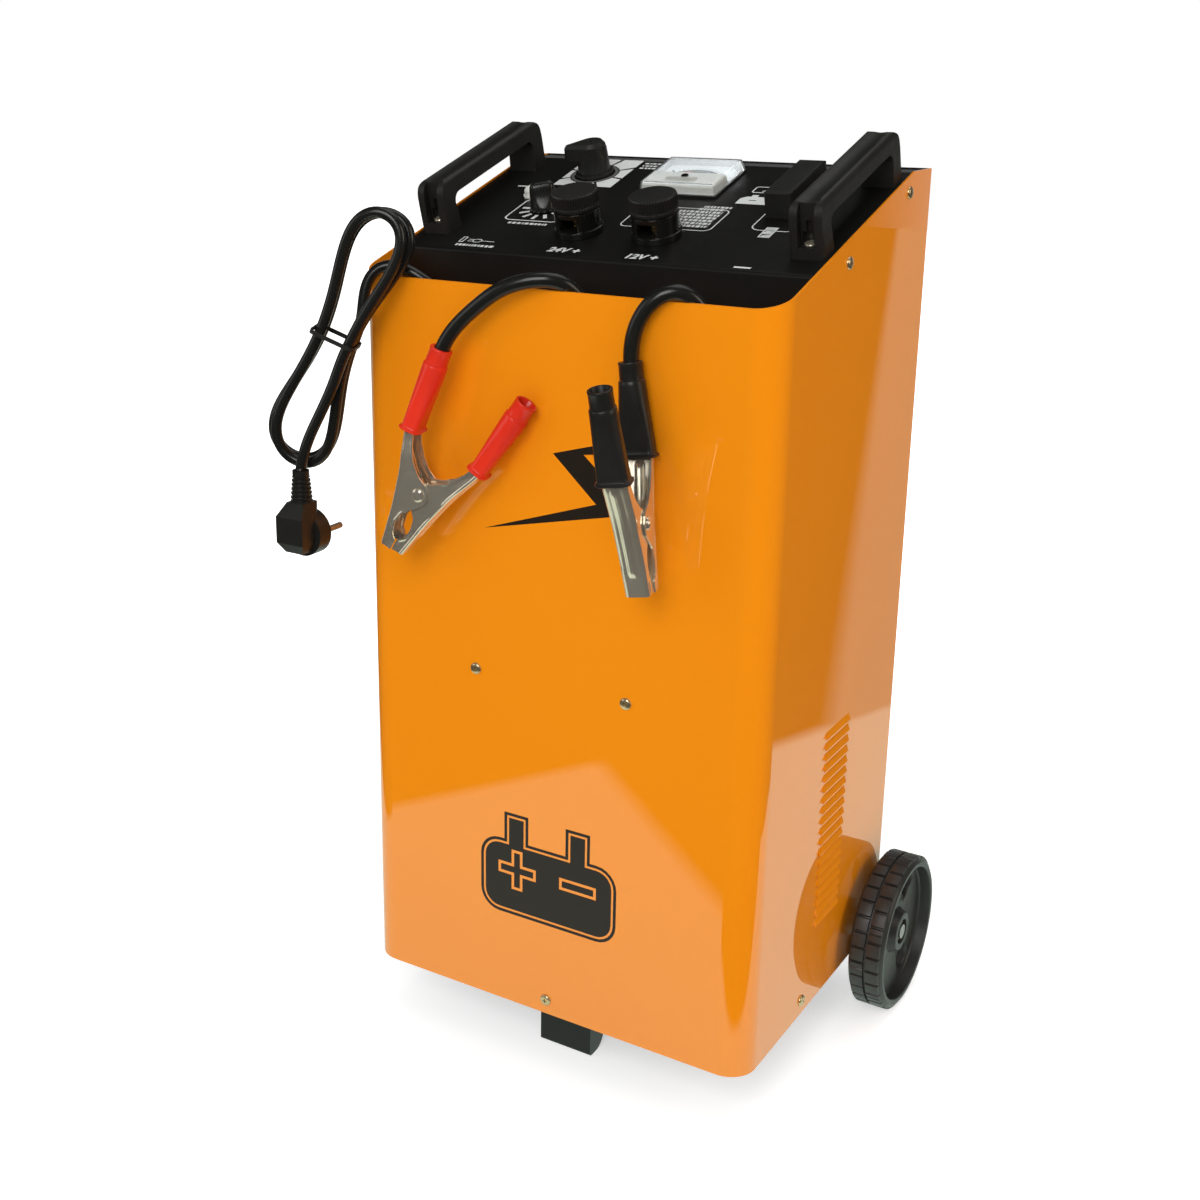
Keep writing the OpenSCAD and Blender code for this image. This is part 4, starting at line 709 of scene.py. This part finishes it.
def clamp_mesh(name, width, slim, place):
    shape = bmesh.new()
    low, high = CHEEK[0][0], CHEEK[-1][0]
    count = round((high - low) / LEVEL_STEP)
    rings = [[shape.verts.new((x, y, low + (high - low) * i / count))
              for x, y in clamp_section(low + (high - low) * i / count, width, slim)] for i in range(count + 1)]
    skin(shape, rings)
    for ring in (rings[0], rings[-1]):
        wide = len(ring) // 2
        for i in range(wide - 1):
            shape.faces.new((ring[i], ring[i + 1], ring[-2 - i], ring[-1 - i]))
    return finish_mesh(name, shape, place, 40)


for colour, material, slot in (("red", red_sleeve, "red_vinyl"), ("black", rubber, "black_vinyl")):
    slim = SLIM[colour]
    for part, width, bore, mirrored, body in (("frame", CLAMP_W, LEAD_D / 2 + 0.05, True, ROOT),
                                              ("jaw", JAW_W, NECK_R - 1.4, False, colour + "_jaw")):
        place = clamp_place(colour, mirrored) @ Matrix.Translation(SLEEVE_FROM) @ Matrix.Rotation(SLEEVE_TILT, 4, "Y")
        name = f"{colour}_clamp_{part}"
        steel = clamp_mesh(name, width, slim, clamp_place(colour, mirrored))
        piece(name + "_steel", steel, zinc, "clamp_zinc", body, name)
        name = f"{colour}_{part}_sleeve"
        skin_mesh = sleeve_mesh(name, width - 2 * slim, bore, place)
        piece(name + "_skin", skin_mesh, material, slot, body, name)

# The start switch's knob: a winged grip that flows into its skirt
START_LEVELS = [(10.6, 10.6, 10.5, 0.5), (11.2, 11.2, 11.1, 1.3), (11.1, 11, 10.9, 3.6), (10.6, 9.8, 9.6, 6),
                (10.2, 7.4, 7.2, 9),
                (10, 5.6, 5.4, 12.5), (9.8, 4.7, 4.5, 16), (9.4, 4.1, 3.9, 19), (8.4, 3.2, 3, 20.8), (7, 2, 1.8, 21.7),
                (5.6, 0.9, 0.7, 22)]
place = on_panel(START_AT[0], START_AT[1]) @ Matrix.Rotation(math.radians(START_TURN), 4, "Z")
piece("start_grip", lofted("start_grip", START_LEVELS, place, 60), satin_black, "knob_plastic", "start", "start_knob")

# The meter: a clear cover with sloping sides over the dial, its near end milky and ribbed
METER = (-24.5, 119, 39.5, 175)
METER_FOOT, METER_TOP = 2, 11
COVER_SLOPE = 1.6
COVER_WALL = 1.8
MILKY_TO = 144
PIVOT = (7.5, 135)


def block(shape, low, high, slope=0.0, bevel=0.0):
    """A box between two corners, narrower at the top by a slope, its edges rounded."""
    (x0, y0, z0), (x1, y1, z1) = low, high
    base = [shape.verts.new(p) for p in ((x0, y0, z0), (x1, y0, z0), (x1, y1, z0), (x0, y1, z0))]
    top = [shape.verts.new(p) for p in ((x0 + slope, y0 + slope, z1), (x1 - slope, y0 + slope, z1),
                                        (x1 - slope, y1 - slope, z1), (x0 + slope, y1 - slope, z1))]
    capped(shape, [base, top])
    if bevel:
        edges = {edge for vertex in top for edge in vertex.link_edges}
        bmesh.ops.bevel(shape, geom=list(edges), offset=bevel, segments=3, profile=0.5, affect="EDGES")


shape = bmesh.new()
block(shape, (METER[0], METER[1], METER_FOOT), (METER[2], METER[3], METER_TOP), COVER_SLOPE, 1.2)
cover_mesh = finish_mesh("meter_window", shape, on_panel(0, 0))
hollow_shape = bmesh.new()
block(hollow_shape, (METER[0] + COVER_WALL, METER[1] + COVER_WALL, METER_FOOT - 1),
      (METER[2] - COVER_WALL, METER[3] - COVER_WALL, METER_TOP - COVER_WALL), COVER_SLOPE, 0.6)
window = piece("meter_window", cover_mesh, clear_cover, "clear_plastic", ROOT, "meter_cover")
cut_out(window, [linked("meter_hollow", finish_mesh("meter_hollow", hollow_shape, on_panel(0, 0)))])
dress(window, clear_cover)
window.visible_shadow = False

# Its near end is milky: a plate over the needle's tail and three walls under it
LIP = 2.2
shape = bmesh.new()
x0, s0, x1, top = METER[0] + LIP, METER[1] + LIP, METER[2] - LIP, METER_TOP - COVER_WALL - 0.2
block(shape, (x0, s0, top - 1.6), (x1, MILKY_TO, top), 0.5, 0.4)
block(shape, (x0 - 0.2, s0, METER_FOOT + 0.3), (x1 + 0.2, s0 + 1, top - 1.7), 0.2)
for x in (x0 - 0.2, x1 - 0.8):
    block(shape, (x, s0 + 1.1, METER_FOOT + 0.3), (x + 1, MILKY_TO, top - 1.7), 0.2)
piece("meter_front", finish_mesh("meter_front", shape, on_panel(0, 0)), milky_plastic, "clear_plastic", ROOT)
shape = bmesh.new()
for i in range(15):
    x = PIVOT[0] - 12 + 24 * i / 14
    block(shape, (x - 0.35, METER[1] + 6, METER_TOP - 0.2), (x + 0.35, METER[1] + 13, METER_TOP + 0.3), 0.1)
piece("meter_ribs", finish_mesh("meter_ribs", shape, on_panel(0, 0)), milky_plastic, "clear_plastic", ROOT)
ADJUSTER_PROFILE = [(2.9, -1.2), (2.9, 0.2), (2.5, 0.6), (1.2, 0.7)]
adjuster = turned("meter_adjuster", ADJUSTER_PROFILE, 24, on_panel(PIVOT[0], PIVOT[1] + 0.5, METER_TOP))
piece("meter_adjuster", adjuster, glossy_black, "pointer_paint", ROOT)


SCREW_PROFILE = [(1.9, -8), (2.0, -7.6), (2.0, 0), (4.6, 0), (4.6, 0.5), (4.45, 1.0), (4.1, 1.45), (3.5, 1.8),
                 (2.7, 2.05), (1.7, 2.2), (0.6, 2.25)]
CROSS_L, CROSS_W, CROSS_DEEP = 2.5, 0.55, 1.5


def screw_mesh():
    """A pan-head screw with a cross recess, its head on the plane z 0."""
    head = linked("screw", turned("screw", SCREW_PROFILE, 32))
    shape = bmesh.new()
    for turn in (0, math.pi / 2):
        place = (Matrix.Rotation(turn, 4, "Z") @ Matrix.Diagonal((CROSS_L * 1.41, CROSS_W * 1.41, 1, 1))
                 @ Matrix.Rotation(math.pi / 4, 4, "Z"))
        made = bmesh.ops.create_cone(shape, cap_ends=True, segments=4, radius1=0.35, radius2=1.0, depth=CROSS_DEEP + 1,
                                     matrix=place)
        bmesh.ops.translate(shape, verts=made["verts"], vec=(0, 0, SCREW_PROFILE[-1][1] + (1 - CROSS_DEEP) / 2))
    cut_out(head, [linked("cross", finish_mesh("cross", shape))], crossed=True)
    result = head.data
    bpy.data.objects.remove(head)
    return result


def islands(name):
    """The separate solids of a CAD node, each as its points in metres."""
    node = frame["nodes"][name]
    shape = bmesh.new()
    shape.from_mesh(node.data)
    shape.transform(node.matrix_world)
    bmesh.ops.remove_doubles(shape, verts=shape.verts, dist=0.00001)
    left = set(shape.verts)
    found = []
    while left:
        queue = [left.pop()]
        points = []
        while queue:
            vertex = queue.pop()
            points.append(vertex.co.copy())
            for edge in vertex.link_edges:
                other = edge.other_vert(vertex)
                if other in left:
                    left.discard(other)
                    queue.append(other)
        found.append(points)
    shape.free()
    return found


def screw_places():
    """For each case screw of the part, the matrix of its head: the shank's plain end tells which way it points."""
    places = []
    for number, points in enumerate(islands("case_screws")):
        middle = sum(points, Vector()) / len(points)
        low = Vector([min(p[i] for p in points) for i in range(3)])
        high = Vector([max(p[i] for p in points) for i in range(3)])
        centre = (low + high) / 2
        reach = max(range(3), key=lambda i: abs(high[i] - low[i] - sorted(high - low)[1]) if i != 2 else -1)
        way = Vector((0, 0, 0))
        way[reach] = 1 if middle[reach] > centre[reach] else -1
        tip = high[reach] if way[reach] > 0 else low[reach]
        seat = centre.copy()
        seat[reach] = tip - way[reach] * SCREW_PROFILE[-1][1] * MM
        turn = way.to_track_quat("Z", "Y").to_matrix().to_4x4()
        places.append(Matrix.Translation(seat) @ turn @ Matrix.Rotation(0.7 * number, 4, "Z") @ Matrix.Scale(MM, 4))
    return places


def copies(name, source, places):
    shape = bmesh.new()
    for place in places:
        part = source.copy()
        part.transform(place)
        shape.from_mesh(part)
        bpy.data.meshes.remove(part)
    return smooth_mesh(name, shape)


piece("pan_head_screws", copies("pan_head_screws", screw_mesh(), screw_places()), gilt_zinc, "zinc_steel", ROOT,
      "case_screws")


RELIEF = [(-13.5, 7.4), (-2.2, 7.4), (-2.2, 10), (-1.5, 10.4), (0.6, 10.4), (1.2, 10), (1.2, 7.6), (3, 7.4), (4.6, 7.1),
          (5, 6.0), (6.6, 6.0), (7.0, 6.9), (9.4, 6.7), (9.8, 5.8), (11.4, 5.7), (11.8, 6.5), (14.2, 6.3), (14.6, 5.5),
          (16.2, 5.4), (16.6, 6.1), (19, 5.9), (19.4, 5.2), (21, 5.1), (21.4, 5.7), (24.5, 5.4), (28, 5.1), (28.6, 4.6),
          (28.6, 4.2)]


def along(line, way):
    """Point and direction at a way along a line of points, both in metres."""
    for a, b in zip(line, line[1:]):
        step = (b - a).length
        if way <= step:
            return a.lerp(b, way / step), (b - a).normalized()
        way -= step
    return line[-1], (line[-1] - line[-2]).normalized()


def swept(line, profile, segments=32):
    """A round body whose middle follows a line: its profile gives ways along the line and radii."""
    shape = bmesh.new()
    rings = []
    for way, radius in profile:
        spot, direction = along(line, max(way, 0) * MM)
        spot = spot + direction * min(way, 0) * MM
        turn = direction.to_track_quat("Z", "X").to_matrix()
        rings.append([shape.verts.new(spot + turn @ Vector((*polar(radius * MM, 2 * math.pi * i / segments), 0)))
                      for i in range(segments)])
    capped(shape, rings)
    return shape


relief_line = [world(-95, BIN_D, 545)] + mains_line
mains_relief = piece("mains_relief", finish_mesh("mains_relief", swept(relief_line, RELIEF)), rubber, "cord_rubber",
                     ROOT, "mains_gland")


# ---- Prints
PRINT_LIFT = 0.12
PANEL_INK = on_panel(0, 0, PRINT_LIFT)
WORD_H, WORD_BOLD, WORD_SLANT = 10.4, 0.045, 0.15


def round_box(x0, y0, x1, y1, r, steps=6):
    """A closed outline of a box with round corners."""
    loop = []
    for cx, cy, start in ((x1 - r, y0 + r, -90), (x1 - r, y1 - r, 0), (x0 + r, y1 - r, 90), (x0 + r, y0 + r, 180)):
        loop += [polar(r, math.radians(start + 90 * i / steps), cx, cy) for i in range(steps + 1)]
    return loop


def plain_box(x0, y0, x1, y1):
    return [(x0, y0), (x1, y0), (x1, y1), (x0, y1)]


def offset_loop(loop, inward):
    """The same closed outline (counted anticlockwise) moved inward by a distance."""
    moved = []
    for before, here, after in zip(loop[-1:] + loop[:-1], loop, loop[1:] + loop[:1]):
        a, b, c = Vector(before), Vector(here), Vector(after)
        u, v = (b - a).normalized(), (c - b).normalized()
        n, m = Vector((-u.y, u.x)), Vector((-v.y, v.x))
        moved.append(tuple(b + (n + m) * inward / (1 + n.dot(m))))
    return moved


def flat_print(name, loops, place=PANEL_INK, material=white_print, slot="dial_card"):
    """Ink on a sheet: closed outlines in millimetres, those inside another cut a hole."""
    data = bpy.data.curves.new(name, "CURVE")
    data.dimensions = "2D"
    data.fill_mode = "BOTH"
    for loop in loops:
        spline = data.splines.new("POLY")
        spline.points.add(len(loop) - 1)
        for point, (x, y) in zip(spline.points, loop):
            point.co = (x, y, 0, 1)
        spline.use_cyclic_u = True
    piece(name, data, material, slot, ROOT, place=place)


def flat_word(name, word, place):
    """A word in plain slanted letters on the panel."""
    data = bpy.data.curves.new(name, "FONT")
    data.body = word
    data.size = WORD_H
    data.offset = WORD_BOLD * WORD_H
    data.shear = WORD_SLANT
    data.align_x = "CENTER"
    data.align_y = "CENTER"
    piece(name, data, white_print, "dial_card", ROOT, place=place)


def mark_row(x0, x1, y, height, seed):
    """Short plain strokes in a row, as fine print looks from afar."""
    chance = random.Random(seed)
    loops = []
    x = x0
    while x < x1:
        width = min(chance.uniform(1.2, 3.6), x1 - x)
        loops.append(plain_box(x, y, x + width, y + height))
        x += width + chance.uniform(0.7, 1.3)
    return loops


def ring_of(loop, width):
    return [loop, offset_loop(loop, width)]


def stroke(x0, y0, x1, y1, width):
    """A straight line of ink between two points."""
    a, b = Vector((x0, y0)), Vector((x1, y1))
    side = (b - a).normalized() * width / 2
    side = Vector((-side.y, side.x))
    return [tuple(a - side), tuple(b - side), tuple(b + side), tuple(a + side)]


SELECTOR = (-84, 157)
PLATE = (-108, 131, -56, 189)
PLATE_INNER_R = 20
PLATE_SECTORS = 8
PLATE_GAP = 5


def plate_edge(angle):
    """The point where a ray from the selector's axis meets the plate's edge."""
    dx, dy = math.cos(math.radians(angle)), math.sin(math.radians(angle))
    reach = min((PLATE[2 if dx > 0 else 0] - SELECTOR[0]) / dx if abs(dx) > 0.001 else 999,
                (PLATE[3 if dy > 0 else 1] - SELECTOR[1]) / dy if abs(dy) > 0.001 else 999)
    return (SELECTOR[0] + dx * reach, SELECTOR[1] + dy * reach)


def plate_sector(first, last):
    corners = [math.degrees(math.atan2(PLATE[j] - SELECTOR[1], PLATE[i] - SELECTOR[0])) for i in (0, 2) for j in (1, 3)]
    angles = {first, last} | {c + turn for c in corners for turn in (0, 360) if first < c + turn < last}
    outer = [plate_edge(a) for a in sorted(angles)]
    return outer + [polar(PLATE_INNER_R, math.radians(last + (first - last) * i / 6), *SELECTOR) for i in range(7)]


def circle(x, y, r, steps=40):
    return [polar(r, 2 * math.pi * i / steps, x, y) for i in range(steps)]


sector = 360 / PLATE_SECTORS
flat_print("selector_plate", [plate_sector(sector * (i - 0.35) + PLATE_GAP / 2, sector * (i + 0.65) - PLATE_GAP / 2)
                              for i in range(PLATE_SECTORS)])
flat_print("selector_ring", [circle(*SELECTOR, 19), circle(*SELECTOR, 16.5)], PANEL_INK, grey_print)
flat_print("selector_marks", [m for i in range(3) for m in mark_row(-52, -38, 172 + 5 * i, 2.6, i)])

START_BOX = round_box(-112, 58, -62, 101, 7)
start_rays = [stroke(*polar(12, a, *START_AT), *polar(20, a, *START_AT), 3)
              for a in (math.radians(150 + 30 * i) for i in range(7))]
flat_print("start_scale", ring_of(START_BOX, 1.3) + start_rays + mark_row(-103, -68, 51.5, 3.2, 5))
flat_print("lamp_mark", [plain_box(-137, 123.6, -128, 125.6)])

SOCKET = ring_of(plain_box(-123, 12.5, -119, 22), 0.9)
PLUG_SIGN = ring_of(round_box(-112, 13.5, -104, 19.5, 2.9), 0.8)
PLUG_LINES = [stroke(-116, 15, -112, 15, 0.8), stroke(-116, 18, -112, 18, 0.8), stroke(-104, 16.5, -93, 16.5, 0.8)]
flat_print("mains_sign", SOCKET + PLUG_SIGN + PLUG_LINES + mark_row(-122, -88, 6.2, 3.4, 7))

TABLE = round_box(-12, 60, 62, 100, 6)
table_rows = [m for i in range(7) for m in mark_row(8 if i < 6 else 36, 57, 66 + 5.2 * i, 3.7, 20 + i)]
flat_print("data_table", ring_of(TABLE, 1.0) + table_rows + mark_row(38, 60, 102.2, 3.2, 31))

SIGN_BAR = stroke(66, 120, 72, 120, 1.2)
BATTERY_SIGN = [(58, 113), (92, 113), (92, 127), (84, 127), (84, 130.5), (79, 130.5), (79, 127), (70, 127), (70, 130.5),
                (65, 130.5), (65, 127), (62, 127), (58, 123)]
flat_print("battery_sign", [BATTERY_SIGN, SIGN_BAR])
flat_print("box_sign", ring_of(round_box(61, 135, 82, 147, 2.5), 1.1) + [stroke(69, 138, 76, 144, 1.3)])
FUSE_LOOP = round_box(89, 67.5, 124, 112, 8)
FUSE_BOX = plain_box(101, 56, 110, 74)
fuse_bars = [stroke(102, 58 + 4 * i, 109, 60.5 + 4 * i, 1.4) for i in range(4)]
flat_print("fuse_sign", ring_of(FUSE_LOOP, 1.0))
flat_print("fuse_box_sign", ring_of(FUSE_BOX, 0.9) + fuse_bars)
flat_word("mark_24v", "24V +", on_panel(-30, 11, PRINT_LIFT))
flat_word("mark_12v", "12V +", on_panel(33.5, 9.5, PRINT_LIFT))
flat_print("mark_minus", [plain_box(106.5, 4, 119, 6.4)])

DIAL_FACE = 4.08
DIAL_INK = on_panel(*PIVOT, DIAL_FACE)
SCALE_R = (27.5, 31)


def arc_band(inner, outer, first, last, steps=24):
    """A band of ink round the pivot between two radii and two angles, counted from the right."""
    angles = [math.radians(first + (last - first) * i / steps) for i in range(steps + 1)]
    return [polar(outer, a) for a in angles] + [polar(inner, a) for a in angles[::-1]]


ticks = [stroke(*polar(SCALE_R[0], a), *polar(SCALE_R[1], a), 0.5)
         for a in (math.radians(48 + 7 * i) for i in range(13))]
flat_print("dial_scale", [arc_band(SCALE_R[0] - 0.25, SCALE_R[0] + 0.25, 46, 134)] + ticks, DIAL_INK, black_print,
           "pointer_paint")
flat_print("dial_band", [arc_band(23.5, 25.2, 50, 95)], DIAL_INK, blue_print, "pointer_paint")
flat_print("dial_red_band", [arc_band(23.5, 25.2, 100, 130)], DIAL_INK, red_print, "pointer_paint")

FRONT_INK = on_front(0, 0, PRINT_LIFT)
BODY_LOW, BODY_TOP, POST_TOP = 77.5, 141, 164
BODY_HALF = 60
BODY_ROUND = 17
POSTS = [(-38.5, -17), (16, 37)]


def battery_outline():
    """A battery seen from the front with its two posts, anticlockwise."""
    low = round_box(-BODY_HALF, BODY_LOW, BODY_HALF, BODY_TOP, BODY_ROUND)
    steps = len(low) // 4
    top = [p for left, right in POSTS[::-1]
           for p in ((right, BODY_TOP), (right, POST_TOP), (left, POST_TOP), (left, BODY_TOP))]
    return low[:2 * steps] + top + low[2 * steps:]


def sign_plus(x, y, reach, arm):
    return [(x - arm, y - reach), (x + arm, y - reach), (x + arm, y - arm), (x + reach, y - arm), (x + reach, y + arm),
            (x + arm, y + arm), (x + arm, y + reach), (x - arm, y + reach), (x - arm, y + arm), (x - reach, y + arm),
            (x - reach, y - arm), (x - arm, y - arm)]


OUTLINE = battery_outline()
PLUS = sign_plus(-27, 116.5, 17, 5)
MINUS = plain_box(10.7, 111.9, 42.8, 122)
INK_LINE, FILL_INSET = 2.4, 4.2
BOLT = [(-56, 388), (46, 411.6), (62, 415.2), (62, 423), (26.4, 453.7), (44, 456.5), (44, 464), (1.6, 451.6),
        (37, 419.5)]
for name, loops in (("battery_outline", ring_of(OUTLINE, INK_LINE)),
                    ("battery_fill", [offset_loop(OUTLINE, FILL_INSET), PLUS, MINUS]),
                    ("battery_signs", [offset_loop(PLUS, INK_LINE), offset_loop(MINUS, INK_LINE)]), ("bolt", [BOLT])):
    flat_print(name, loops, FRONT_INK, black_print, "black_paint")


# ---- Floor, backdrop and light. Each edge is a point on a line and the way inward from it; together they bound
# the painted reflections on the floor: a bright patch and a paler band that glow only for polished surfaces.
PAINTED_REFLECTION_EDGES = [((-0.189, -0.628), (-0.653, 0.757)), ((-0.27, -0.63), (0.853, 0.521)),
               ((0.433, 0.517), (-0.943, -0.333))]
PAINTED_BAND_EDGES = [((0.435, 0.702), (-0.947, 0.321)), ((0.0, 0.30), (0.0, 1.0))]
EDGE_BLUR = 0.012
FLOOR_LIFT = 0.5
# Strengths and tint of the painted reflections on the floor; the band's strength also sets the world's painted band
PAINTED_BAND_LEVEL = 0.41
PAINTED_REFLECTION_LEVEL = 0.885
PAINTED_REFLECTION_TINT = (0.85, 1.0, 0.87, 1)
FLOOR_HALF = 6.0
FLOOR_TONE = (0.9, 0.9, 0.9, 1)
FLOOR_ROUGH = 0.9


def arithmetic(add, operation, first, second, kind="ShaderNodeMath"):
    """The result of a sum in nodes, each of its two terms a socket or a plain value."""
    node = add(kind, operation=operation)
    for socket, value in zip(node.inputs, (first, second)):
        if isinstance(value, bpy.types.NodeSocket):
            value.id_data.links.new(value, socket)
        else:
            socket.default_value = value
    return node.outputs["Value" if operation == "DOT_PRODUCT" else 0]


def beyond(add, place, point, inward, blur):
    """1 on the inner side of a line through a point, 0 on the other, with a soft change between."""
    shifted = arithmetic(add, "SUBTRACT", place, (*point, 0), "ShaderNodeVectorMath")
    reach = arithmetic(add, "DOT_PRODUCT", shifted, (*inward, 0), "ShaderNodeVectorMath")
    return spread(add, reach, -blur, blur, 0, 1)


def within(add, place, edges, blur):
    """1 where a place lies on the inner side of every edge."""
    inside = beyond(add, place, *edges[0], blur)
    for point, inward in edges[1:]:
        inside = arithmetic(add, "MULTIPLY", inside, beyond(add, place, point, inward, blur))
    return inside


def make_stage():
    """A white floor that keeps a soft shadow; polished surfaces see painted reflections on it, a bright patch and a
    paler band that glow only for them, and dark floor beyond.
    """
    data = bpy.data.meshes.new("floor")
    half = FLOOR_HALF
    data.from_pydata([(-half, -half, 0), (half, -half, 0), (half, half, 0), (-half, half, 0)], [], [(0, 1, 2, 3)])
    floor = linked("floor", data)
    material, shader, add, links = new_material("floor")
    shader.inputs["Base Color"].default_value = FLOOR_TONE
    shader.inputs["Roughness"].default_value = FLOOR_ROUGH
    place = object_coordinates(add)
    distance = add("ShaderNodeVectorMath", operation="LENGTH")
    links.new(place, distance.inputs[0])
    rays = add("ShaderNodeLightPath")
    lift = arithmetic(add, "MULTIPLY", spread(add, distance.outputs["Value"], 0.3, 0.9, FLOOR_LIFT, 1.0),
                      rays.outputs["Is Camera Ray"])
    lifted = add("ShaderNodeEmission")
    links.new(lift, lifted.inputs["Strength"])
    seen = add("ShaderNodeAddShader")
    links.new(shader.outputs[0], seen.inputs[0])
    links.new(lifted.outputs[0], seen.inputs[1])
    # Painted reflections: a glow that only glossy rays see, a bright patch and a paler band on the floor
    band = arithmetic(add, "MULTIPLY", within(add, place, PAINTED_BAND_EDGES, EDGE_BLUR), PAINTED_BAND_LEVEL)
    near = arithmetic(add, "MULTIPLY", within(add, place, PAINTED_REFLECTION_EDGES, EDGE_BLUR), PAINTED_REFLECTION_LEVEL)
    sheet = arithmetic(add, "MAXIMUM", near, band)
    mirrored = add("ShaderNodeEmission")
    mirrored.inputs["Color"].default_value = PAINTED_REFLECTION_TINT
    links.new(sheet, mirrored.inputs["Strength"])
    mix = add("ShaderNodeMixShader")
    links.new(rays.outputs["Is Glossy Ray"], mix.inputs[0])
    links.new(seen.outputs[0], mix.inputs[1])
    links.new(mirrored.outputs[0], mix.inputs[2])
    output = next(n for n in material.node_tree.nodes if n.type == "OUTPUT_MATERIAL")
    links.new(mix.outputs[0], output.inputs["Surface"])
    dress(floor, material)


SKY_LEVEL = 0.5
# Directions and top of the pale band that only polished surfaces see in the world: a painted reflection
PAINTED_REFLECTION_DIRECTIONS = [((0.0, 0.0), (-0.944, 0.329)), ((0.0, 0.3), (0.0, 1.0))]
PAINTED_REFLECTION_TOP = 0.25


def make_world():
    """White to the camera and through glass; dark to polished surfaces but for one pale band of directions, a painted
    reflection.
    """
    world_data = bpy.data.worlds.new("studio")
    world_data.use_nodes = True
    tree = world_data.node_tree
    add = node_adder(tree)
    background = tree.nodes["Background"]
    rays = add("ShaderNodeLightPath")
    seen = arithmetic(add, "MAXIMUM", rays.outputs["Is Camera Ray"], rays.outputs["Is Transmission Ray"])
    direction = add("ShaderNodeTexCoord").outputs["Generated"]
    height = add("ShaderNodeSeparateXYZ", Vector=direction).outputs["Z"]
    low = spread(add, height, PAINTED_REFLECTION_TOP, PAINTED_REFLECTION_TOP + 0.1, PAINTED_BAND_LEVEL, 0)
    # Painted reflection: a pale band of the world that only glossy rays see
    band = arithmetic(add, "MULTIPLY", within(add, direction, PAINTED_REFLECTION_DIRECTIONS, 0.02), low)
    plain = add("ShaderNodeMix", data_type="FLOAT")
    tree.links.new(rays.outputs["Is Glossy Ray"], plain.inputs[0])
    plain.inputs[2].default_value = SKY_LEVEL
    tree.links.new(band, plain.inputs[3])
    tree.links.new(arithmetic(add, "MAXIMUM", plain.outputs[0], seen), background.inputs["Strength"])
    background.inputs["Color"].default_value = (1, 1, 1, 1)
    bpy.context.scene.world = world_data


def soft_light(name, place, aim, size, power, tint=(1, 1, 1)):
    data = bpy.data.lights.new(name, "AREA")
    data.shape = "RECTANGLE"
    data.size, data.size_y = size
    data.energy = power
    data.color = tint
    lamp = linked(name, data)
    lamp.location = place
    lamp.rotation_mode = "QUATERNION"
    lamp.rotation_quaternion = (Vector(aim) - Vector(place)).to_track_quat("-Z", "Y")


make_stage()
make_world()
SIDE_TINT = (1.0, 0.86, 0.72)
MIDDLE = (0, 0, 0.35)
soft_light("key", (0.5, -2.6, 1.9), MIDDLE, (1.6, 1.6), 37)
soft_light("fill", (-1.8, -1.6, 1.2), MIDDLE, (1.4, 1.4), 6)
soft_light("side", (2.6, 0.1, 1.3), MIDDLE, (1.2, 1.6), 14.5, SIDE_TINT)
soft_light("top", (0.2, 0.6, 2.6), (0, 0, 0.5), (1.8, 1.8), 10)
bpy.context.scene.view_settings.view_transform = "Standard"
